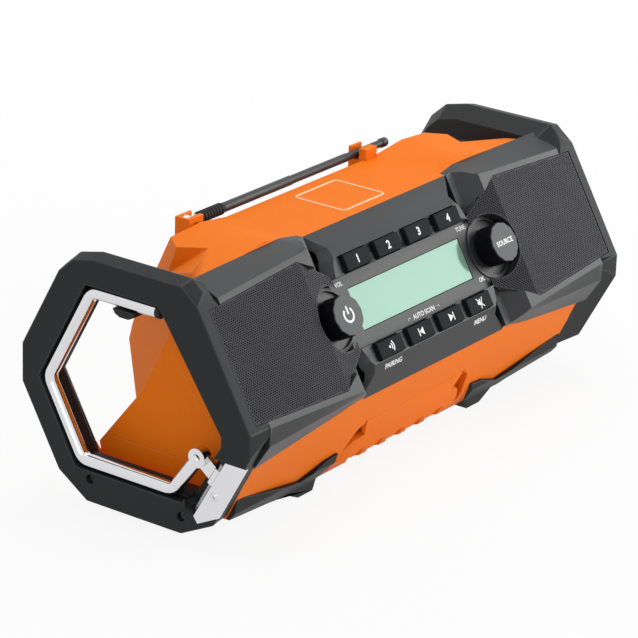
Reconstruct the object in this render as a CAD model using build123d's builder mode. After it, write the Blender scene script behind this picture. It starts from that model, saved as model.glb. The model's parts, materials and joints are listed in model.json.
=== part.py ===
"""Jobsite radio: two bumper loops carry a faceted case with a tilted front panel.

Frame: millimetres, +X to the right of someone facing the panel, -Y towards that person, +Z up.
The origin is on the ground under the middle of the case.

Most pieces are drawn in one of three families of planes:
  section(x)  looks along +X; its local axes are (y, z) measured from the centre of the end loops
  front(y)    looks along +Y; its local axes are (x, z) measured from the same centre
  panel(w)    lies parallel to the speaker face; its local axes are (x, v) and w is the height above it
"""
import math
import os

from build123d import *

os.makedirs("parts", exist_ok=True)

# ---------------------------------------------------------------- driving dimensions
half_length = 200.0          # centre to the flat outer side of an end loop
axis_height = 86.0           # ground to the centre of the end loops
depth_shift = 2.4            # centre of the end loops behind the middle of the case
panel_tilt = 30.0            # lean of the speaker face, degrees from upright
panel_reach = 75.7           # loop centre to the plane of the speaker face
panel_drop = -5.8            # middle of the speaker face below the foot of that normal
wall = 3.0                   # moulded wall
gap = 0.3                    # air between pieces that move past each other
bearing_air = 0.05           # radial air in a turning fit

loop_inner_x = 176.0         # inboard edge of a loop
loop_throat_x = 182.0        # inboard end of the straight part of the opening
loop_crown_x = 190.0         # where the outer band is widest
loop_swell = 2.5             # how far the upper and rear sides swell between the flat side and the crown
loop_fall = -4.5             # how far the same sides fall again by the inboard edge
loop_tuck = -5.5             # the same for the side below the speaker face, where it meets the case
frame_seam_x = 181.0         # joint between a speaker frame and its end loop
mesh_seat = 1.8              # depth of the recess that a grille lies in
body_end_x = 172.0           # flat end of the case
case_rim_x = 177.0           # end of the rim that carries the case's outside into a loop

# the loop's outline: direction each side faces, and how far it stands from the centre
loop_sides = [
    (0.0, 84.0), (28.0, 79.6), (48.0, 85.3), (77.0, 82.2), (90.0, 77.5), (128.9, 82.9), (150.0, 75.7),
    (180.0, 88.5), (207.7, 86.2), (243.4, 86.7), (270.0, 77.5), (303.4, 82.9), (329.9, 79.2),
]
upper_sides = (329.9, 0.0, 28.0, 48.0, 77.0, 90.0, 128.9)
tucked_side = 207.7

# the opening through the loop, in the same terms
throat_sides = [
    (28.0, 55.4), (90.0, 56.0), (145.3, 50.5), (180.0, 67.0), (213.0, 64.1), (270.0, 53.0), (330.6, 60.4),
]

rod_radius = 4.2             # bent rod of the hanging hook
rod_x = -195.5               # its plane when stowed
rabbet_depth = 9.0           # step in the outer side of the left loop that takes the rod

waist_half = 77.0            # flat middle of the top
ramp_end = 105.5             # top of the ramps on both sides of it
waist_z = 72.3
shoulder_z = 77.0
body_end_z = 71.4            # height of the top where it meets the loops
rise_x = 125.0               # the underside is level up to here, then rises towards the loops
rise_end_z = -65.5           # height it would have 220 mm off the middle

knob_x = 84.4
knob_radius = 13.0
knob_face_w = 5.1
housing_size = 15.0          # side of an encoder's housing
collar_radius = 18.5
key_pitch = 32.2
key_width = 25.0
key_height = 10.6
key_row_v = 28.4
display_half = (59.0, 13.5)
speaker_x = 142.0
speaker_radius = 33.0

hinge_pin_radius = 1.5
antenna_x = -106.0
antenna_y = 33.0
antenna_z = 75.0

tilt = math.radians(panel_tilt)
out_of_panel = Axis((0, 0, 0), (0, -math.cos(tilt), math.sin(tilt)))


# ---------------------------------------------------------------- planes and outlines
def section(x):
    """Plane facing +X at x, with (y, z) measured from the loop centre."""
    return Plane(origin=(x, depth_shift, axis_height), x_dir=(0, 1, 0), z_dir=(1, 0, 0))


def front(y):
    """Plane facing -Y, with (x, z) measured from the loop centre and y likewise."""
    return Plane(origin=(0, depth_shift + y, axis_height), x_dir=(1, 0, 0), z_dir=(0, -1, 0))


def panel_point(v, w):
    """(y, z) from the loop centre of a point of the tilted face."""
    reach = panel_reach + w
    slope = panel_drop + v
    return (-math.cos(tilt) * reach + math.sin(tilt) * slope, math.sin(tilt) * reach + math.cos(tilt) * slope)


def panel(w):
    """Plane parallel to the speaker face at height w above it."""
    y, z = panel_point(0, w)
    return Plane(
        origin=(0, depth_shift + y, axis_height + z),
        x_dir=(1, 0, 0),
        z_dir=(0, -math.cos(tilt), math.sin(tilt)),
    )


def crossing(a, b):
    """Where the lines of two (direction, distance) sides meet."""
    ca, sa = math.cos(math.radians(a[0])), math.sin(math.radians(a[0]))
    cb, sb = math.cos(math.radians(b[0])), math.sin(math.radians(b[0]))
    det = ca * sb - sa * cb
    return ((a[1] * sb - b[1] * sa) / det, (ca * b[1] - cb * a[1]) / det)


def outline(sides, grow=0.0, only=None):
    """Corners of a convex outline whose sides move out by grow, or just the sides facing only."""
    moved = [(angle, far + grow if only is None or angle in only else far) for angle, far in sides]
    return [crossing(moved[i - 1], moved[i]) for i in range(len(moved))]


def loop_station(upper, tuck):
    """Outline of a loop with its upper and rear sides moved out by upper and its tucked side by tuck."""
    moved = [(angle, far + tuck if angle == tucked_side else far) for angle, far in loop_sides]
    return outline(moved, upper, upper_sides)


def inset(points, steps):
    """Corners of a counter-clockwise convex outline with side i moved inwards by steps[i]."""
    sides = []
    for i, (ay, az) in enumerate(points):
        by, bz = points[(i + 1) % len(points)]
        length = math.hypot(by - ay, bz - az)
        ny, nz = (bz - az) / length, -(by - ay) / length
        sides.append((math.degrees(math.atan2(nz, ny)), ny * ay + nz * az - steps[i]))
    return [crossing(sides[i - 1], sides[i]) for i in range(len(sides))]


def loft_between(x_a, points_a, x_b, points_b):
    """Solid between two outlines with the same number of corners."""
    with BuildPart() as piece:
        with BuildSketch(section(x_a)):
            Polygon(*points_a, align=None)
        with BuildSketch(section(x_b)):
            Polygon(*points_b, align=None)
        loft(ruled=True)
    return piece.part


def prism_x(points, x_a, x_b):
    """Outline in section coordinates, carried from x_a to x_b."""
    with BuildPart() as piece:
        with BuildSketch(section(min(x_a, x_b))):
            Polygon(*points, align=None)
        extrude(amount=abs(x_b - x_a))
    return piece.part


def panel_prism(points, w_low, w_high):
    """Outline in panel coordinates, carried from w_low to w_high."""
    with BuildPart() as piece:
        with BuildSketch(panel(w_low)):
            Polygon(*points, align=None)
        extrude(amount=w_high - w_low)
    return piece.part


def panel_cylinder(x, v, radius, w_low, w_high):
    """Round bar along the panel's normal."""
    with BuildPart() as piece:
        with BuildSketch(panel(w_low)):
            with Locations((x, v)):
                Circle(radius)
        extrude(amount=w_high - w_low)
    return piece.part


def half_space(through, facing, size=400.0):
    """Large block on the side of a plane that it faces; through is measured from the loop centre."""
    x, y, z = through
    plane = Plane(origin=(x, y + depth_shift, z + axis_height), z_dir=facing)
    with BuildPart() as piece:
        with BuildSketch(plane):
            Rectangle(size, size)
        extrude(amount=size)
    return piece.part


def both_sides(part):
    """A piece and its mirror image."""
    return [part, mirror(part, about=Plane.YZ)]


def save(part, name):
    """Label a finished piece and write its file."""
    part.label = name
    export_step(part, "parts/" + name + ".step")


# ---------------------------------------------------------------- the case as one envelope
split_z = -45.0              # joint between the rear shell and the lower shell
back_y = 52.0                # rear wall

# the case's side view, each corner as (y, z)
case_outline = [
    (24, 77.5), (-38, 77.5), (-80.5, -18.5), (-57, -67), (-50, -79), (40, -79), (back_y, -30), (back_y, 14),
]
finger_facing = (0.768, 0.578, 0.276)      # facet that clears the fingers behind each loop
finger_through = (170.0, -22.0, 71.0)
ledge_facing = (0.0, 0.786, 0.619)         # foot of that facet, flaring back to the bottom of the loop
ledge_through = (170.0, 20.0, -17.0)
notch_facing = (0.865, -0.5, 0.04)         # steep cheek of the notch in each shoulder
notch_through = (133.0, -3.8, 74.5)
chute_facing = (0.27, 0.515, 0.814)        # sloping floor of that notch
chute_through = (133.0, -3.8, 74.5)
under_facing = (0.6, 0.76, -0.25)          # facet under the finger facet, behind the lower end of the case
under_through = (170.0, 20.0, -17.0)


def shifted(through, facing, step):
    """The same plane moved back against the way it faces."""
    return tuple(p - step * f for p, f in zip(through, facing))


def case_block(skin, low_z, high_z, steps, end_x=body_end_x):
    """The case's solid envelope, each facet moved inwards by skin, between two heights."""
    end_x = end_x - skin
    profile = inset(case_outline, steps)
    with BuildPart() as block:
        add(prism_x(profile, -end_x, end_x))
        with Locations((0, 0, axis_height + (low_z + high_z) / 2)):
            Box(500, 500, high_z - low_z, mode=Mode.INTERSECT)
        with BuildSketch(front(120)):
            Polygon(
                (-220, 120), (-220, body_end_z - skin - 4.0), (-body_end_x, body_end_z - skin),
                (-ramp_end, shoulder_z - skin), (-waist_half, waist_z - skin),
                (waist_half, waist_z - skin), (ramp_end, shoulder_z - skin),
                (body_end_x, body_end_z - skin), (220, body_end_z - skin - 4.0), (220, 120), align=None,
            )
            for way in (-1, 1):
                Polygon(
                    (way * rise_x, -120), (way * rise_x, -79 + skin), (way * 220, rise_end_z + skin),
                    (way * 220, -120), align=None,
                )
        extrude(amount=240, mode=Mode.SUBTRACT)
        finger = half_space(shifted(finger_through, finger_facing, skin), finger_facing)
        ledge = half_space(shifted(ledge_through, ledge_facing, skin), ledge_facing)
        cheek = half_space(shifted(notch_through, notch_facing, skin), notch_facing)
        chute = half_space(shifted(chute_through, chute_facing, skin), chute_facing)
        under = half_space(shifted(under_through, under_facing, skin), under_facing)
        for cut in both_sides(finger & ledge) + both_sides(under & ledge) + both_sides(cheek & chute):
            add(cut, mode=Mode.SUBTRACT)
    return block.part


# the front frame's side view near the middle of the case and at the loops, top edge first
frame_inner_x = 104.0
frame_inner = [(-26, 74.8), panel_point(45, 0), panel_point(-45, 0), (-89.0, -11.0), (-77.5, -24.0)]
frame_outer = [(-30.5, 75.4), panel_point(39.4, 0), panel_point(-39.6, 0), (-88.5, -15.0), (-77.5, -33.0)]


def frame_station(x):
    """Corners of the front frame's side view at x, in line with the two given ones."""
    t = (x - frame_inner_x) / (half_length - frame_inner_x)
    return [(a + (c - a) * t, b + (d - b) * t) for (a, b), (c, d) in zip(frame_inner, frame_outer)]


def frame_block(x_a, x_b, steps=(0, 0, 0, 0, 0)):
    """Front frame between two stations, its sides moved in by steps."""
    return loft_between(x_a, inset(frame_station(x_a), steps), x_b, inset(frame_station(x_b), steps))


def frame_cover(x_a, x_b, top_z=100.0):
    """Space over the upper face of the front frame between two stations."""
    outlines = [[a, (a[0], top_z), (b[0], top_z), b] for a, b in (frame_station(x)[:2] for x in (x_a, x_b))]
    return loft_between(x_a, outlines[0], x_b, outlines[1])


frame_end_x = 76.0           # inboard end of a speaker frame
panel_bend = [
    (53.2, -13.4), (34.4, -5.0), (22.4, -5.4), (22.2, -9.4), (-22.6, -9.4), (-22.8, -6.6), (-35.2, -6.0),
    (-51.7, -17.0),
]
panel_back = [(-49.6, -20.0), (-37.0, -12.4), (36.0, -12.4), (50.0, -17.2)]
panel_top, panel_foot = panel_point(*panel_bend[0]), panel_point(*panel_bend[-1])
centre_block = prism_x(
    [panel_top, (panel_top[0], 95), (-110, 95), (-110, panel_foot[1]), panel_foot]
    + [panel_point(v, w) for v, w in panel_back],
    -frame_end_x, frame_end_x,
)
frame_zone = [
    *both_sides(frame_block(frame_end_x, half_length)), *both_sides(frame_cover(frame_end_x, half_length)),
    centre_block,
]
end_hollow = loft_between(body_end_x, outline(throat_sides, 6.8), loop_throat_x, outline(throat_sides))


def case_outside(low_z, high_z):
    """The case's envelope with a rim at both ends that runs on into the loops, round their openings."""
    with BuildPart() as outside:
        add(case_block(0.0, low_z, high_z, [0] * 8, case_rim_x))
        for hollow in both_sides(end_hollow):
            add(hollow, mode=Mode.SUBTRACT)
    return outside.part


with BuildPart() as case_envelope:
    add(case_outside(-90, 90))
    for zone in frame_zone:
        add(zone, mode=Mode.SUBTRACT)
whole_case = case_envelope.part
nose = prism_x([(-100, -18), (-73, -18), (-61, split_z), (-100, split_z)], -half_length, half_length)

# ---------------------------------------------------------------- rear shell
jack_x = 70.0                # middle of the socket opening in the rear wall
jack_z = 0.0
cover_half = (21.0, 10.0)    # half width and half height of its cover
cover_round = 1.4            # half the cover's thickness, and the radius of its hinge edge
cover_low_y = back_y - 2 * cover_round
cover_pin_radius = 0.7
post_spots = [(-100.0, 8.0), (100.0, 8.0), (-100.0, -24.0), (100.0, -24.0)]    # (x, z) of the case screws


def cover_bar(x_a, x_b, radius):
    """Round bar along the hinge axis of the socket cover, from x_a to x_b off its middle."""
    with BuildPart() as bar:
        with BuildSketch(section(jack_x + x_a)):
            with Locations((back_y - cover_round, jack_z - cover_half[1] + cover_round)):
                Circle(radius)
        extrude(amount=x_b - x_a)
    return bar.part


with BuildPart() as rear_shell:
    add(case_outside(split_z, 90))
    add(case_block(wall, split_z - 10, 90, [wall, -12, 0, 0, 0, wall, wall, wall]), mode=Mode.SUBTRACT)
    for zone in frame_zone:
        add(zone, mode=Mode.SUBTRACT)
    add(nose, mode=Mode.SUBTRACT)
    with BuildSketch(front(49.2)):
        with Locations(*post_spots):
            Circle(4.0)
    extrude(amount=22)
    with BuildSketch(front(53)):
        with Locations(*post_spots):
            Circle(3.0)
    extrude(amount=4.6, mode=Mode.SUBTRACT)
    with BuildSketch(front(53)):
        with Locations(*post_spots):
            Circle(1.5)
    extrude(amount=18.6, mode=Mode.SUBTRACT)
    with BuildSketch(front(60)):
        with Locations((jack_x, jack_z)):
            Rectangle(2 * (cover_half[0] + gap), 2 * (cover_half[1] + gap))
    extrude(amount=20, mode=Mode.SUBTRACT)
    add(cover_bar(-cover_half[0] - 3, cover_half[0] + 3, cover_pin_radius), mode=Mode.SUBTRACT)
save(rear_shell.part, "rear_shell")

# ---------------------------------------------------------------- lower shell with the door opening
door_top = (-66.5, -44.0)    # hinge edge of the battery door on the front slope
door_bottom = (-54.5, -73.0)
door_half = 52.0             # half its width at the hinge
door_len = math.hypot(door_bottom[0] - door_top[0], door_bottom[1] - door_top[1])
door_lean = math.degrees(math.atan2(door_bottom[0] - door_top[0], door_top[1] - door_bottom[1]))


def door_plane(out):
    """Plane of the front slope; local axes are x and the way up the slope, origin on the hinge edge."""
    a = math.radians(door_lean)
    normal = (0, -math.cos(a), -math.sin(a))
    y = depth_shift + door_top[0] + normal[1] * out
    z = axis_height + door_top[1] + normal[2] * out
    return Plane(origin=(0, y, z), x_dir=(1, 0, 0), z_dir=normal)


def door_prism(right_edge, out_high, out_low):
    """Outline in the door's plane, given by its right edge from the top down, between two levels."""
    with BuildPart() as piece:
        with BuildSketch(door_plane(out_high)):
            Polygon(*right_edge, *[(-x, up) for x, up in reversed(right_edge)], align=None)
        extrude(amount=out_low - out_high)
    return piece.part


door_proud = 1.2             # how far the door stands out of the slope
hinge_round = 2.3            # half the door's thickness, and the radius of its rounded hinge edge
door_pin_radius = 1.0
door_waist = 47.5            # half width of the door above its wings
wing_half = 66.5             # half width over the wings
wing_fall = 2.7              # how far a wing's face falls back towards its tip
lug_span = (54.2, 62.0)      # stretch of the hinge axis taken by a lug of the shell
lug_gap = 0.3                # air round the door
pocket_floor = -6.0          # bottom of the pockets beside the door, under its face
door_right = [
    (door_half, -hinge_round), (door_waist, -14.5), (57.0, -17.2), (64.0, -24.0), (wing_half, -door_len),
]
pin_end = 57.4               # half the length of the hinge pin
opening_right = [
    (54.0, lug_gap), (61.0, -7.0), (wing_half + lug_gap, -24.0), (wing_half + lug_gap, -door_len - lug_gap),
]


def door_bar(x_a, x_b, radius):
    """Round bar along the door's hinge axis."""
    a = math.radians(door_lean)
    out, up = door_proud - hinge_round, -hinge_round
    y = door_top[0] - math.cos(a) * out - math.sin(a) * up
    z = door_top[1] - math.sin(a) * out + math.cos(a) * up
    with BuildPart() as bar:
        with BuildSketch(section(x_a)):
            with Locations((y, z)):
                Circle(radius)
        extrude(amount=x_b - x_a)
    return bar.part


def front_prism(points, y_a, y_b):
    """Outline in (x, z) from the loop centre, carried from y_a back to y_b."""
    with BuildPart() as piece:
        with BuildSketch(front(y_b)):
            Polygon(*points, align=None)
        extrude(amount=y_b - y_a)
    return piece.part


# black rail along the right lower front edge, with the foot it stands on
rail_front = [
    (73, -62.1), (84.4, -axis_height), (99, -axis_height), (113.1, -79.5), (rise_x, -79.5),
    (loop_inner_x, -72.3), (loop_inner_x, -56.5), (107.0, -71.0), (86.0, -63.4),
]
rail_side = [
    (-61.6, -57), (-60.6, -67.4), (-50.6, -79), (-50.6, -axis_height), (-39, -axis_height), (-39, -57),
]
rail_zone = front_prism(rail_front, -70, -30) & prism_x(rail_side, 60, loop_inner_x)

scoop_radius = 10.0          # finger scoops in the free edge of the door and the shell below it
scoop_pitch = 21.3
scoop_plane = door_plane(5.0)
scoop_spots = [scoop_plane.from_local_coords((scoop_pitch * (i - 2), -37.0, 0)) for i in range(5)]
scoop_sill = prism_x([(-50.8, -76.5), (-46.2, -76.5), (-46.2, -70.0), (-50.8, -70.0)], -54, 54)

with BuildPart() as lower_shell:
    add(case_outside(-90, split_z))
    add(case_outside(-90, 0) & nose)
    add(case_block(wall, -90, split_z + 60, [wall, -12] + [wall] * 6), mode=Mode.SUBTRACT)
    for zone in frame_zone:
        add(zone, mode=Mode.SUBTRACT)
    with BuildSketch(door_plane(-2)):
        with Locations((-60.5, -15), (60.5, -15)):
            Rectangle(19, 34)
    extrude(amount=pocket_floor)
    add(scoop_sill)
    add(door_prism(opening_right, 6, pocket_floor), mode=Mode.SUBTRACT)
    with Locations(*scoop_spots):
        Sphere(scoop_radius, mode=Mode.SUBTRACT)
    for lug in both_sides(door_bar(*lug_span, hinge_round)):
        add(lug)
    add(door_bar(-pin_end, pin_end, door_pin_radius), mode=Mode.SUBTRACT)
    for zone in both_sides(rail_zone):
        add(zone, mode=Mode.SUBTRACT)
save(lower_shell.part, "lower_shell")

# ---------------------------------------------------------------- end loops
screw_spots = [(30.5, -62.5), (-39.0, -66.5)]      # (y, z) of the screws in a loop's flat side
screw_head = 3.0
screw_shank = 1.6
mesh_rebate = [(170, -37.4), (192.2, -36.0), (192.2, 36.0), (170, 37.4)]    # a grille's end in a loop


def loop_part():
    """One end loop on the right, with the case and the speaker frame cut out of it."""
    crown = loop_station(loop_swell, loop_tuck / 2)
    with BuildPart() as loop:
        add(loft_between(loop_crown_x, crown, half_length, outline(loop_sides)))
        add(loft_between(loop_inner_x, loop_station(loop_fall, loop_tuck), loop_crown_x, crown))
        add(prism_x(outline(throat_sides), loop_throat_x - 1, half_length + 1), mode=Mode.SUBTRACT)
        add(end_hollow, mode=Mode.SUBTRACT)
        add(whole_case, mode=Mode.SUBTRACT)
        add(frame_block(loop_inner_x - 2, frame_seam_x), mode=Mode.SUBTRACT)
        add(panel_prism(mesh_rebate, -mesh_seat, 5), mode=Mode.SUBTRACT)
        with BuildSketch(section(half_length)):
            with Locations(*screw_spots):
                Circle(screw_head)
        extrude(amount=-5.2, mode=Mode.SUBTRACT)
        with BuildSketch(section(half_length)):
            with Locations(*screw_spots):
                Circle(screw_shank)
        extrude(amount=-15, mode=Mode.SUBTRACT)
    return loop.part


with BuildPart() as right_loop:
    add(loop_part())
save(right_loop.part, "right_loop")

# the hook's seat in the left loop
plate_outline = [(-70.7, -23.0), (-86.3, -23.0), (-66.6, -59.6), (-51.2, -67.4), (-48.1, -63.2)]
pocket_outline = [
    (-40.0, -50.0), (-46.0, -30.0), (-66.0, -22.0), (-69.4, -26.0), (-50.0, -62.0), (-42.0, -60.0),
]
plate_thickness = 2.0
plate_screw = (-63.5, -46.5)
rod_foot = (-48.8, -26.6)    # lower end of the rod, where the eye grips it
hinge_x = -194.5
hinge_middle = (-57.2, -41.8)
hinge_run = (-0.488, 0.873)  # direction of the hook's hinge in (y, z)
eye_span = (1.0, 13.0)       # stretch of the hinge taken by the eye, measured from hinge_middle
eye_radius = 3.2
pin_half = 24.0


def hinge_at(along):
    """(y, z) on the hook's hinge, so far from its middle."""
    return (hinge_middle[0] + along * hinge_run[0], hinge_middle[1] + along * hinge_run[1])


def hinge_bar(from_along, to_along, radius):
    """Round bar on the hook's hinge axis."""
    y, z = hinge_at(from_along)
    plane = Plane(
        origin=(hinge_x, depth_shift + y, axis_height + z),
        x_dir=(1, 0, 0),
        z_dir=(0, hinge_run[0], hinge_run[1]),
    )
    with BuildPart() as bar:
        with BuildSketch(plane):
            Circle(radius)
        extrude(amount=to_along - from_along)
    return bar.part


with BuildPart() as left_loop:
    add(mirror(loop_part(), about=Plane.YZ))
    rabbet = outline(throat_sides, rod_radius + gap, (28.0, 90.0, 270.0, 330.6))
    add(prism_x(rabbet, -half_length - 1, -half_length + rabbet_depth), mode=Mode.SUBTRACT)
    add(prism_x(plate_outline, -half_length - 1, -half_length + plate_thickness), mode=Mode.SUBTRACT)
    add(prism_x(pocket_outline, -half_length - 1, -half_length + 10.5), mode=Mode.SUBTRACT)
    add(hinge_bar(eye_span[0] - 1, eye_span[1] + 1, eye_radius + 0.6), mode=Mode.SUBTRACT)
    add(hinge_bar(-pin_half, pin_half, hinge_pin_radius), mode=Mode.SUBTRACT)
    with BuildSketch(section(-half_length)):
        with Locations(plate_screw):
            Circle(1.3)
    extrude(amount=plate_thickness + 8, mode=Mode.SUBTRACT)
save(left_loop.part, "left_loop")

# ---------------------------------------------------------------- speaker frames and grilles
ramp_top = (104.5, 0.0)      # (x, w) of the slope on which a grille runs down to its knob
ramp_foot = (72.0, -7.0)
sheet_edge = 1.6             # thickness of the grille's edge at its foot
bluff_top = (91.5, 0.0)      # (x, w) of the steeper inner end of a speaker frame above and below it
bluff_foot = (81.5, -12.5)


def panel_side(v):
    """Plane across the speaker face at v; local axes are x and w."""
    y, z = panel_point(v, 0)
    return Plane(
        origin=(0, depth_shift + y, axis_height + z),
        x_dir=(1, 0, 0),
        z_dir=(0, -math.sin(tilt), -math.cos(tilt)),
    )


def side_prism(points):
    """Outline in (x, w), carried right across the speaker face."""
    with BuildPart() as piece:
        with BuildSketch(panel_side(80)):
            Polygon(*points, align=None)
        extrude(amount=160)
    return piece.part


mesh_outer = [(105.0, -41.3), (191.9, -35.9), (191.9, 35.9), (105.0, 41.3)]
mesh_inner = [(105.0, 41.3), (72.3, 24.0), (72.3, -24.0), (105.0, -41.3)]
mesh_column = panel_prism(mesh_inner, -40, 5)
above_ramp = side_prism([(50, 30), (50, -22), ramp_foot, ramp_top, (125, 8.5), (125, 30)])
above_bluff = side_prism([(50, 30), (50, bluff_foot[1]), bluff_foot, bluff_top, (95, 4.4), (95, 30)])
ramp_sheet = side_prism([
    ramp_foot, (ramp_foot[0], ramp_foot[1] - sheet_edge), (105.2, -sheet_edge), (105.2, 0.0), ramp_top,
])
above_hollow = side_prism([
    (50, 30), (50, -22), (75.5, -16.5), (86, -16.5), (104.5, -3.4), (125, 5.1), (125, 30),
])


over_waist = front_prism([
    (60, waist_z), (waist_half, waist_z), (ramp_end, shoulder_z), (ramp_end, 100), (60, 100),
], -60, 0)


def speaker_frame():
    """Speaker surround on the right: rim, slopes and a steep inner end with the grille's slope in it."""
    with BuildPart() as hollow:
        add(frame_block(frame_end_x + wall, frame_seam_x + 1, (wall, wall, wall, wall, -14)))
        add(above_hollow, mode=Mode.SUBTRACT)
    with BuildPart() as frame:
        add(frame_block(frame_end_x, frame_seam_x))
        add(over_waist, mode=Mode.SUBTRACT)
        add(above_bluff - mesh_column, mode=Mode.SUBTRACT)
        add(above_ramp & mesh_column, mode=Mode.SUBTRACT)
        add(hollow.part, mode=Mode.SUBTRACT)
        add(panel_prism(mesh_outer, -mesh_seat, 5), mode=Mode.SUBTRACT)
        add(panel_cylinder(speaker_x, 0, speaker_radius - 2.5, -12, 5), mode=Mode.SUBTRACT)
        add(ramp_sheet & mesh_column, mode=Mode.SUBTRACT)
        add(panel_cylinder(knob_x, 0, collar_radius + 2.3, -40, 5), mode=Mode.SUBTRACT)
    return frame.part


with BuildPart() as right_speaker_frame:
    add(speaker_frame())
save(right_speaker_frame.part, "right_speaker_frame")

with BuildPart() as left_speaker_frame:
    add(mirror(speaker_frame(), about=Plane.YZ))
save(left_speaker_frame.part, "left_speaker_frame")


def grille():
    """Pressed mesh on the right: flat field and the slope that runs down round the knob's collar."""
    with BuildPart() as mesh:
        add(panel_prism([(105.0, -41.1), (191.7, -35.7), (191.7, 35.7), (105.0, 41.1)], -mesh_seat, -0.3))
        add(ramp_sheet & panel_prism(mesh_inner, -40, -0.3))
        add(panel_cylinder(knob_x, 0, collar_radius + 2.2, -40, 5), mode=Mode.SUBTRACT)
    return mesh.part


with BuildPart() as right_grille:
    add(grille())
save(right_grille.part, "right_grille")

with BuildPart() as left_grille:
    add(mirror(grille(), about=Plane.YZ))
save(left_grille.part, "left_grille")

# ---------------------------------------------------------------- loudspeakers
cone_depth = 16.0
basket_depth = 24.0


def turned(x, profile):
    """Profile of (radius, w) turned about the panel's normal through (x, 0)."""
    y, z = panel_point(0, 0)
    plane = Plane(
        origin=(x, depth_shift + y, axis_height + z),
        x_dir=(1, 0, 0),
        z_dir=(0, -math.sin(tilt), -math.cos(tilt)),
    )
    axis = Axis((x, depth_shift + y, axis_height + z), (0, -math.cos(tilt), math.sin(tilt)))
    with BuildPart() as piece:
        with BuildSketch(plane):
            Polygon(*profile, align=None)
        revolve(axis=axis)
    return piece.part


basket_profile = [
    (31.2, -wall), (speaker_radius, -wall), (speaker_radius, -5.0), (29.6, -7.2), (25, -12),
    (18, -basket_depth), (8, -basket_depth), (8, -basket_depth + 2), (16.8, -basket_depth + 2), (23.6, -11.4),
    (28.4, -6.2),
]
cone_profile = [
    (30.2, -3.4), (27.0, -3.9), (9.0, -cone_depth), (5.0, -cone_depth + 1.5), (0, -cone_depth + 2.6),
    (0, -cone_depth + 1.8), (5.0, -cone_depth + 0.7), (8.6, -cone_depth - 1.2), (25.6, -5.6), (29.6, -4.2),
]
for side, place in (("left", -speaker_x), ("right", speaker_x)):
    with BuildPart() as speaker_basket:
        add(turned(place, basket_profile))
    save(speaker_basket.part, side + "_speaker_basket")
    with BuildPart() as speaker_cone:
        add(turned(place, cone_profile))
    save(speaker_cone.part, side + "_speaker_cone")

with BuildPart() as speaker_magnets:
    for place in (-speaker_x, speaker_x):
        add(panel_cylinder(place, 0, 20, -basket_depth - 12, -basket_depth))
save(speaker_magnets.part, "speaker_magnets")

# ---------------------------------------------------------------- centre panel
collar_wall = 2.0
collar_top_w = -8.6
collar_floor_w = -10.4
underside_w = -12.4
end_draft = math.radians(38)           # lean of the facets at both ends of the panel
end_w = -6.0                 # level at which the ends' outline is drawn
right_end = [
    (72, -66), (71, -56), (62.6, -40), (68.4, -31.8), (72, -20), (72, 20), (68.4, 31.8), (62.6, 40),
    (71.7, 57.5), (72.7, 66),
]
end_outline = right_end + [(-x, v) for x, v in reversed(right_end)]
end_levels = (-24.0, -2.0)   # levels between which the leaning facets are drawn
mesh_air = 0.4               # air between a grille and the panel
above_sheet = side_prism([(71, 30), (71, -9.2), (105.2, -2.0), (105.2, 30)])
key_spots = [(key_pitch * (i - 1.5), v) for v in (key_row_v, -key_row_v - 0.4) for i in range(4)]


def centre_solid():
    """Bent plate of the centre panel, its ends cut back in leaning facets, with a collar at each knob."""
    with BuildPart() as plate:
        add(prism_x([panel_point(v, w) for v, w in panel_bend + panel_back], -frame_end_x, frame_end_x))
        for w in end_levels:
            step = (w - end_w) * math.tan(end_draft)
            with BuildSketch(panel(w)):
                Polygon(*inset(end_outline, [step] * len(end_outline)), align=None)
        loft(ruled=True, mode=Mode.INTERSECT)
        for notch in both_sides(above_sheet & panel_prism(inset(mesh_inner, [-mesh_air] * 4), -40, 5)):
            add(notch, mode=Mode.SUBTRACT)
        for x in (-knob_x, knob_x):
            add(panel_cylinder(x, 0, collar_radius + collar_wall, underside_w - 0.5, collar_top_w))
        for x in (-knob_x, knob_x):
            add(panel_cylinder(x, 0, collar_radius, collar_floor_w, 6), mode=Mode.SUBTRACT)
    return plate.part


with BuildPart() as control_panel:
    add(centre_solid())
    with BuildSketch(panel(-14)):
        Rectangle(2 * display_half[0] + 0.4, 2 * display_half[1] + 0.4)
        with Locations(*key_spots):
            Rectangle(key_width + 0.8, key_height + 0.8)
        with Locations((-knob_x, 0), (knob_x, 0)):
            Circle(3.6)
    extrude(amount=12, mode=Mode.SUBTRACT)
    with BuildSketch(panel(-15.4)):
        with Locations((-68, 22), (68, 22), (-68, -22), (68, -22)):
            Circle(2.4)
    extrude(amount=3.0)
save(control_panel.part, "control_panel")

with BuildPart() as display_window:
    with BuildSketch(panel(-11.9)):
        Rectangle(2 * display_half[0], 2 * display_half[1])
    extrude(amount=2.0)
save(display_window.part, "display_window")

with BuildPart() as display_module:
    with BuildSketch(panel(-15.4)):
        Rectangle(2 * display_half[0] + 6, 2 * display_half[1] + 6)
    extrude(amount=3.0)
    with BuildSketch(panel(-12.4)):
        Rectangle(2 * display_half[0] - 2, 2 * display_half[1] - 2)
    extrude(amount=0.5)
save(display_module.part, "display_module")

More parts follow.
